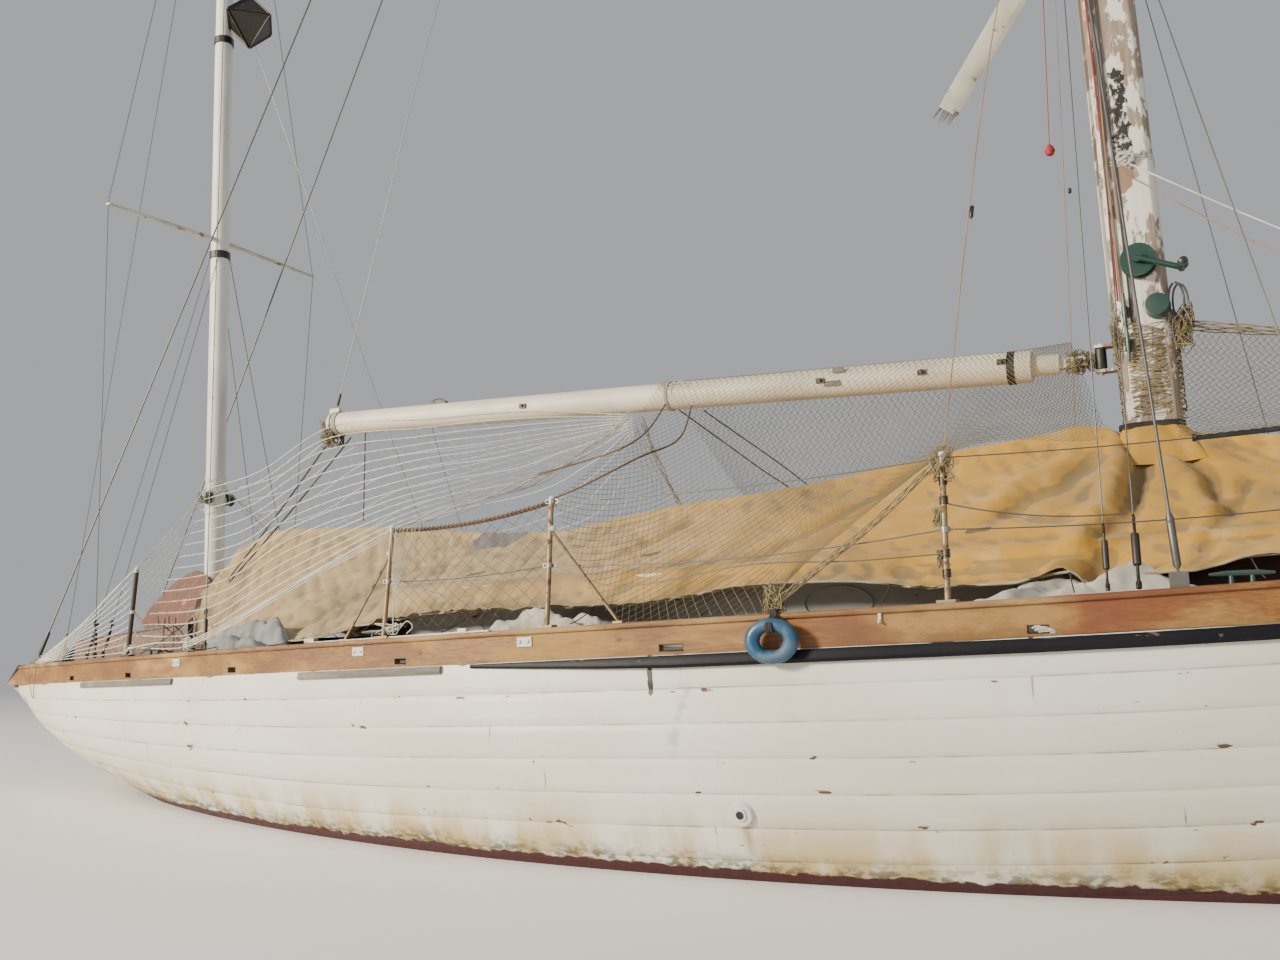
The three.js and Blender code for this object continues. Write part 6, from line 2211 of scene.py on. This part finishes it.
@dataclass
class SparWork:
    """Lashings, fittings and sheets on the boom, and the reflector's flanges."""

    along: Point = (1, 0, -0.049)

    def _boom(self, x: float, down: float = 0.0, side: float = 0.0) -> np.ndarray:
        """A point on the boom: down from its axis, and its Y."""
        return np.array(boom_axis(x)) + [0, side, -down]

    def build(self) -> None:
        """Makes the boom's fittings and the reflector's edges."""
        bands, dark, rope, bare = Shape(), Shape(), Shape(), Shape()
        for x, turns in ((-1.10, 3), (-3.86, 5)):
            rope.lashing(self._boom(x), self.along, 0.089, 0.0035, turns)
        for k in range(5):
            top = self._boom(-1.12 + 0.02 * k, -0.06, -0.07)
            rope.line([top, top + [0.03 * (k - 2), -0.03, 0.01],
                       top + [0.035 * (k - 2), -0.045, -0.03 * (k % 3)]], 0.0025, 4, 5)
        for x, high in ((-2.17, 0.0), (-0.09, 0.0), (0.50, 0.0), (0.93, 0.02)):
            foot = self._boom(x, -high, -0.086)
            dark.block(foot, (0.05, 0.02, 0.03), self.along)
            dark.turned(foot, (0, -1, 0.1), [(0, 0.009), (0.018, 0.009), (0.02, 0.004)], 10)
        dark.block(self._boom(-2.95, -0.088), (0.16, 0.035, 0.02), self.along)
        dark.line([self._boom(-3.04, -0.09), self._boom(-2.95, -0.125), self._boom(-2.86, -0.09)], 0.006, 5)
        for x, size, down in ((-0.02, 0.10, 0.02), (0.02, 0.07, -0.055)):
            bare.block(self._boom(x, down, -0.0865), (size, 0.006, 0.03), self.along)
        for x, r, long, proud in ((-3.90, 0.0885, 0.05, 0.003), (0.95, 0.0895, 0.04, 0.0025)):
            profile = [(0, r), (0.001, r + proud), (long, r + proud), (long + 0.001, r)]
            bands.turned(self._boom(x), self.along, profile, 28)
        for shape, name, finish in ((bands, "boom_bands", DARK_STEEL), (dark, "boom_fittings", DARK_STEEL),
                                    (rope, "boom_lashings", WHITE_ROPE), (bare, "boom_patches", GREY_WOOD)):
            shape.made(name, finish, body=BOOM)
        self._sheets()
        self._reflector()
        self._spreader_bolt()

    def _sheets(self) -> None:
        """The mainsheet from the boom's end to the deck, and two lines from the boom to the cover."""
        lines, ties, base = Shape(), Shape(), Shape()
        block = Shape().turned(self._boom(-3.86, 0.14, -0.02), (0, -1, 0), [(-0.02, 0.03), (0.02, 0.03)], 18)
        block.block(self._boom(-3.86, 0.115), (0.03, 0.05, 0.09))
        block.made("sheet_block", BLACK_RUBBER, body=BOOM)
        start = self._boom(-3.86, 0.12, -0.02)
        for far, foot in ((-0.09, (-4.955, -0.31, 1.30)), (0.12, (-4.945, -0.35, 1.28))):
            lines.tube(hanging(start + [far, 0, 0], foot, 0.03, 16), 0.0062, 7)
        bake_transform(lines.made("mainsheet", DARK_ROPE, body=None))
        ties.tube(hanging(self._boom(-3.62, 0.088), (-3.36, -0.30, 1.91), 0.02, 10), 0.0045, 6)
        ties.tube(hanging(self._boom(-3.0, 0.088), (-2.55, -0.25, 1.80), 0.015, 10), 0.0022, 6)
        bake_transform(ties.made("boom_tie_lines", DARK_ROPE, body=None))
        base.block((-4.93, -0.35, 1.262), (0.12, 0.05, 0.02))
        base.ring((-4.95, -0.33, 1.285), (0, 1, 0), 0.018, 0.004, 1.0, 6).made("sheet_eye", DARK_STEEL)

    @staticmethod
    def _reflector() -> None:
        """Flanges along the radar reflector's edges."""
        middle = np.array([-4.937, 0.0, 6.26])
        flanges = Shape()
        corners = [middle + way * axis * 0.231 for axis in np.eye(3) for way in (1, -1)]
        for i, a in enumerate(corners):
            for b in corners[i + 1:]:
                if np.linalg.norm(a + b - 2 * middle) > 0.01:
                    out = unit((a + b) / 2 - middle)
                    long = float(np.linalg.norm(a - b)) * 0.98
                    flanges.block((a + b) / 2 + out * 0.002, (long, 0.006, 0.022), b - a, out)
        flanges.made("reflector_flanges", DARK_STEEL)

    @staticmethod
    def _spreader_bolt() -> None:
        """The bare bolt and torn splinters of the broken port spreader."""
        bolt = Shape().turned((1.36, 0.205, 4.99), (0.2, -0.9, 0.3),
                              [(-0.03, 0.008), (0.03, 0.008), (0.031, 0.014), (0.042, 0.014)], 8)
        bolt.made("spreader_bolt", DARK_STEEL)
        splinters = Shape()
        for k in range(9):
            side = -0.06 + 0.015 * k
            start = np.array([0.655 + side * 0.75, 0.416, 4.232 - side * 0.6])
            tip = start + [-0.05 - 0.03 * RNG.random(), 0.01, -0.06 - 0.03 * RNG.random()]
            splinters.tube([start, tip], (0.007, 0.001), 4)
        splinters.made("spreader_splinters", GREY_WOOD)


@dataclass
class DeckGear:
    """Small fittings and loose gear along the rail, the deck and the counter."""

    rail: RailLine
    deck: float = 0.154

    def build(self) -> None:
        """Makes the fittings and the gear."""
        self._bulwark_parts()
        self._track()
        self._cleats()
        self._fender_line()
        self._box_gear()
        self._cloths()
        self._glass()

    def _face(self, x: float, side: Side, down: float, out: float = 0.0) -> np.ndarray:
        """A point on the bulwark's outer face, or so far outside it, down from the rail's top."""
        return np.array([x, side.value * (self.rail.half(x) - 0.014 + out), self.rail.top(x) - down])

    def _bulwark_parts(self) -> None:
        """Pads with two bolts, pegs, scupper linings and the stuffing in one scupper."""
        pads, bolts, pegs, rims, plug = Shape(), Shape(), Shape(), Shape(), Shape()
        for side in Side:
            turn = side.value
            for x in (-4.0, -2.24, -1.12):
                along = unit(self._face(x + 0.1, side, 0.06) - self._face(x - 0.1, side, 0.06))
                centre = self._face(x, side, 0.062, 0.004)
                pads.block(centre, (0.085, 0.008, 0.046), along)
                for way in (-1, 1):
                    bolts.turned(centre + along * 0.024 * way, (0, turn, 0),
                                 [(0, 0.009), (0.006, 0.009), (0.009, 0.005)], 10)
            for x in (0.10, 0.62):
                pegs.turned(self._face(x, side, 0.048, -0.004), (0, turn * 0.86, -0.5),
                            [(0, 0.0065), (0.03, 0.006), (0.034, 0.003)], 10)
                pegs.block(self._face(x, side, 0.045, 0.004), (0.012, 0.012, 0.045))
            for x, wide in ((-5.65, 0.08), (-4.66, 0.08), (-3.37, 0.08), (-1.93, 0.08), (-0.33, 0.12),
                            (1.23, 0.08), (2.8, 0.08), (4.3, 0.08)):
                slope = (self.rail.half(x + 0.1) - self.rail.half(x - 0.1)) / 0.2 * turn
                middle = self._face(x, side, self.deck - 0.029, 0.0005)
                rims.tube([middle + [wide / 2 * i, slope * wide / 2 * i, 0.015 * j]
                           for i, j in ((-1, -1), (1, -1), (1, 1), (-1, 1))], 0.0028, 6, loop=True)
            at = self._face(1.23, side, 0.125, -0.012)
            for _ in range(7):
                along, up = drawn((-0.035, 0.035), (-0.009, 0.009))
                a = at + [along, 0, up]
                plug.line([a, a + [0.012, turn * 0.012, 0.004], a + [0.03, turn * 0.004, -0.006],
                           a + [0.01, turn * 0.008, -0.008]], 0.007, 4)
        pads.made("bulwark_pads", WHITE_PLASTIC)
        bolts.made("pad_bolts", STEEL)
        pegs.made("bulwark_pegs", WHITE_PLASTIC)
        rims.made("scupper_rims", DARK_STEEL)
        plug.made("scupper_stuffing", PALE_CLOTH)

    def _track(self) -> None:
        """Metal track on the rail, with its car and shackle."""
        track, car = Shape(), Shape()
        for side in Side:
            for k, x in enumerate(np.arange(-2.70, -1.36, 0.09)):
                a, b = self.rail.at(x, side, 0.04, 0.004), self.rail.at(x + 0.09, side, 0.04, 0.004)
                track.block((a + b) / 2, (0.0915, 0.026, 0.007), b - a)
                if k % 2 == 0:
                    track.turned(a + [0.02, 0, 0.003], (0, 0, 1), [(0, 0.005), (0.003, 0.004)], 8)
            at = self.rail.at(-2.66, side, 0.04, 0.015)
            car.block(at, (0.07, 0.036, 0.02)).ring(at + [0, 0, 0.026], (0, 1, 0), 0.013, 0.004, 1.0, 6)
            car.block(self.rail.at(-1.52, side, 0.04, 0.014), (0.05, 0.034, 0.018))
        track.made("rail_track", STEEL)
        car.made("track_cars", STEEL)

    def _cleats(self) -> None:
        """Green horned cleats, with the lines belayed on one of them."""
        horns, tangle = Shape(), Shape()
        for side in Side:
            for x in (-2.13, -4.36, 1.95):
                foot = self.rail.at(x, side, 0.05, 0.0)
                for way in (-0.035, 0.035):
                    horns.turned(foot + [way, 0, -0.001], (0, 0, 1), [(0, 0.011), (0.03, 0.009)], 10)
                horns.tube([foot + [far, 0, high] for far, high in (
                    (-0.11, 0.035), (-0.05, 0.037), (0.05, 0.037), (0.11, 0.035))],
                    (0.006, 0.011, 0.011, 0.006), 8)
            centre = self.rail.at(-2.05, side, 0.05, 0.035)
            for _ in range(8):
                tangle.line([centre + drawn((-0.09, 0.08), (-0.02, 0.02), (-0.015, 0.045))
                             for _ in range(6)], 0.0032, 5)
            tangle.line([centre + [far, 0, high] for far, high in (
                (0.06, 0.0), (0.12, 0.05), (0.16, 0.02), (0.12, -0.015))], 0.0032, 5)
        horns.made("rail_cleats", GREEN)
        tangle.made("cleat_lines", WHITE_ROPE)

    def _fender_line(self) -> None:
        """Dark line that holds the ring fender, and the line over the stern."""
        side, thick = Side.STARBOARD, 0.003
        over = self.rail.at(0.165, side, 0.0, 0.0)
        ring = np.array([0.170, -1.712, over[2] - 0.048])
        line = Shape()
        for k in range(4):
            shift = [0.008 * k - 0.012, 0, 0]
            line.line([start + shift + [0, y, z] for start, y, z in (
                (over, 0.10, 0.045), (over, 0.04, 0.014), (over, -0.006, 0.010), (ring, 0.028, 0.035),
                (ring, -0.032, 0.0), (ring, -0.012, -0.034), (ring, 0.026, 0.0))], 0.0042, 5)
        line.made("fender_line", DARK_ROPE)
        loop = smooth_path([self.rail.at(-6.35, side, 0.06, 0.01), self.rail.at(-6.42, side, -0.008, 0.006),
                            self._face(-6.46, side, 0.10, 0.03), self._face(-6.54, side, 0.27, 0.01),
                            self._face(-6.62, side, 0.10, 0.03), self.rail.at(-6.66, side, -0.008, 0.006),
                            self.rail.at(-6.70, side, 0.06, 0.01)], 6)
        stern = Shape().tube(loop, thick, 6).made("stern_line", TAN_ROPE)
        long = float(distances(loop)[-1])

    def _box_gear(self) -> None:
        """Trim, straps and the red mark on the counter box and its leaning board."""
        trim, straps = Shape(), Shape()
        for side in Side:
            y = side.value * 0.331
            trim.block((-5.065, y, 1.135), (0.055, 0.012, 0.235))
            trim.tube([(-6.345, y, 1.147), (-5.055, y, 1.247)], 0.009, 6)
        trim.made("box_trim", GREY_WOOD)
        for k in range(2):
            straps.line([(-5.50 + 0.12 * k, -0.236, 1.32), (-5.45 + 0.12 * k, -0.262, 1.24),
                         (-5.30 + 0.11 * k, -0.345, 1.235), (-4.95 + 0.1 * k, -0.62, 1.05),
                         self.rail.at(-4.36 + 0.03 * k, Side.STARBOARD, 0.07, 0.045)], 0.006, 7)
        straps.made("board_straps", BROWN_ROPE)
        caster = Caster("varnished_board")
        corners = [caster.meet((x, -1, z), (0, 1, 0)) + [0, -0.0012, 0]
                   for x, z in ((-5.33, 1.40), (-5.285, 1.40), (-5.275, 1.445), (-5.325, 1.45))]
        Shape().add(corners, [[0, 1, 2, 3]]).made("board_mark", RED_PLASTIC)

    def _heap(self, name: str, finish: Finish, place: tuple[float, float, float, float], size: Point,
              along: Point, folds: int, seed: float, flat: tuple[float, float]) -> None:
        """A bundle of cloth, folded over itself on the deck.

        Args:
            name: the piece's name.
            finish: its finish.
            place: x and y of its middle, the station whose rail it is set down from, and its lift.
            size: half length, half width and height.
            along: the way it lies.
            folds: folds along it.
            seed: changes its folds.
            flat: the cloth's flat width and length; not used.
        """
        x, y, station, lift = place
        centre = np.array([x, y, self.rail.top(station) - self.deck + lift])
        a = unit(along)
        b = unit(np.cross((0, 0, 1), a))
        n, m = 90, 44
        corners = []
        for t in np.linspace(-1, 1, n):
            body = (1 - abs(t) ** 3.2) ** 0.5
            for turn in np.linspace(0, math.pi, m):
                fold = 0.16 * math.sin(folds * turn + 2.2 * math.sin(t * 3 + seed))
                fold += 0.30 * noise.noise((t * 3.1 + seed, turn * 1.2, seed))
                fold += 0.12 * noise.noise((t * 9, turn * 4, seed))
                swell = body * (1 + fold)
                up = size[2] * max(0.0, math.sin(turn)) * swell
                corners.append(centre + a * size[0] * t + b * size[1] * math.cos(turn) * swell + [0, 0, up])
        faces = [[i, k, l, j] for i, j, l, k in quads(n, m)]
        heap = Shape().add(corners, faces).made(name, finish, angle=180)

    def _cloths(self) -> None:
        """Rolled cloths on the side deck and bundles on the counter and stern."""
        for row in (
                ("grey_bundle", GREY_CLOTH, (-3.65, -1.02, -3.6, 0.03), (0.5, 0.15, 0.26),
                 (1, -0.22, 0.02), 5, 1.3, (0.75, 1.1)),
                ("rolled_cloth_starboard", PALE_CLOTH, (-1.17, -1.36, -1.2, 0.02), (0.42, 0.085, 0.20),
                 (1, -0.02, 0.0), 4, 3.1, (0.44, 0.9)),
                ("rolled_cloth_fore", PALE_CLOTH, (1.37, -1.23, 1.3, 0.02), (0.50, 0.08, 0.215),
                 (1, 0.12, 0.03), 4, 5.7, (0.46, 1.1)),
                ("navy_bundle", NAVY_CLOTH, (-6.66, -0.12, -6.6, 0.03), (0.17, 0.20, 0.22), (0.2, 1, 0.0), 4,
                 8.2, (0.75, 0.38)),
                ("white_rag", PALE_CLOTH, (2.02, -1.02, 2.0, 0.015), (0.10, 0.04, 0.12), (1, 0.2, 0.03), 3,
                 4.4, (0.29, 0.22))):
            self._heap(*row)

    @staticmethod
    def _glass() -> None:
        """Blanked side lights, painted over with the cabin's sides, seen below the cover."""
        panes, rings = Shape(), Shape()
        caster = Caster("cabin_side_starboard")
        for side in Side:
            for x in (-1.65, -0.70, 0.25, 1.20):
                z = 1.193 + 0.0213 * x
                hit = caster.meet((x, -2, z + 0.1), (0, 1, 0))
                if hit is None:
                    continue
                y = (abs(hit[1]) + 0.003) * side.value
                ring = [(x + math.cos(t) * 0.17, y, z + math.sin(t) * 0.083) for t in round_trip(36)]
                rings.tube(ring, 0.005, 8, loop=True)
                panes.add(ring, [list(range(len(ring)))])
        rings.made("side_light_rings", CABIN_GREY)
        panes.made("side_light_panes", CABIN_GREY)


def main() -> None:
    """Builds the studio and dresses the yawl, one sub-assembly after another."""
    logging.basicConfig(level=logging.INFO, format="%(message)s")
    rail = RailLine()
    Studio().build()
    Dressing().build()
    Planking(rail).build()
    CoverCloth(rail).build()
    Netting(rail).build()
    masts = MastLines()
    Rigging(rail, masts).build()
    GuardRails(rail).build()
    SparWork().build()
    DeckGear(rail).build()


if __name__ == "__main__":
    main()
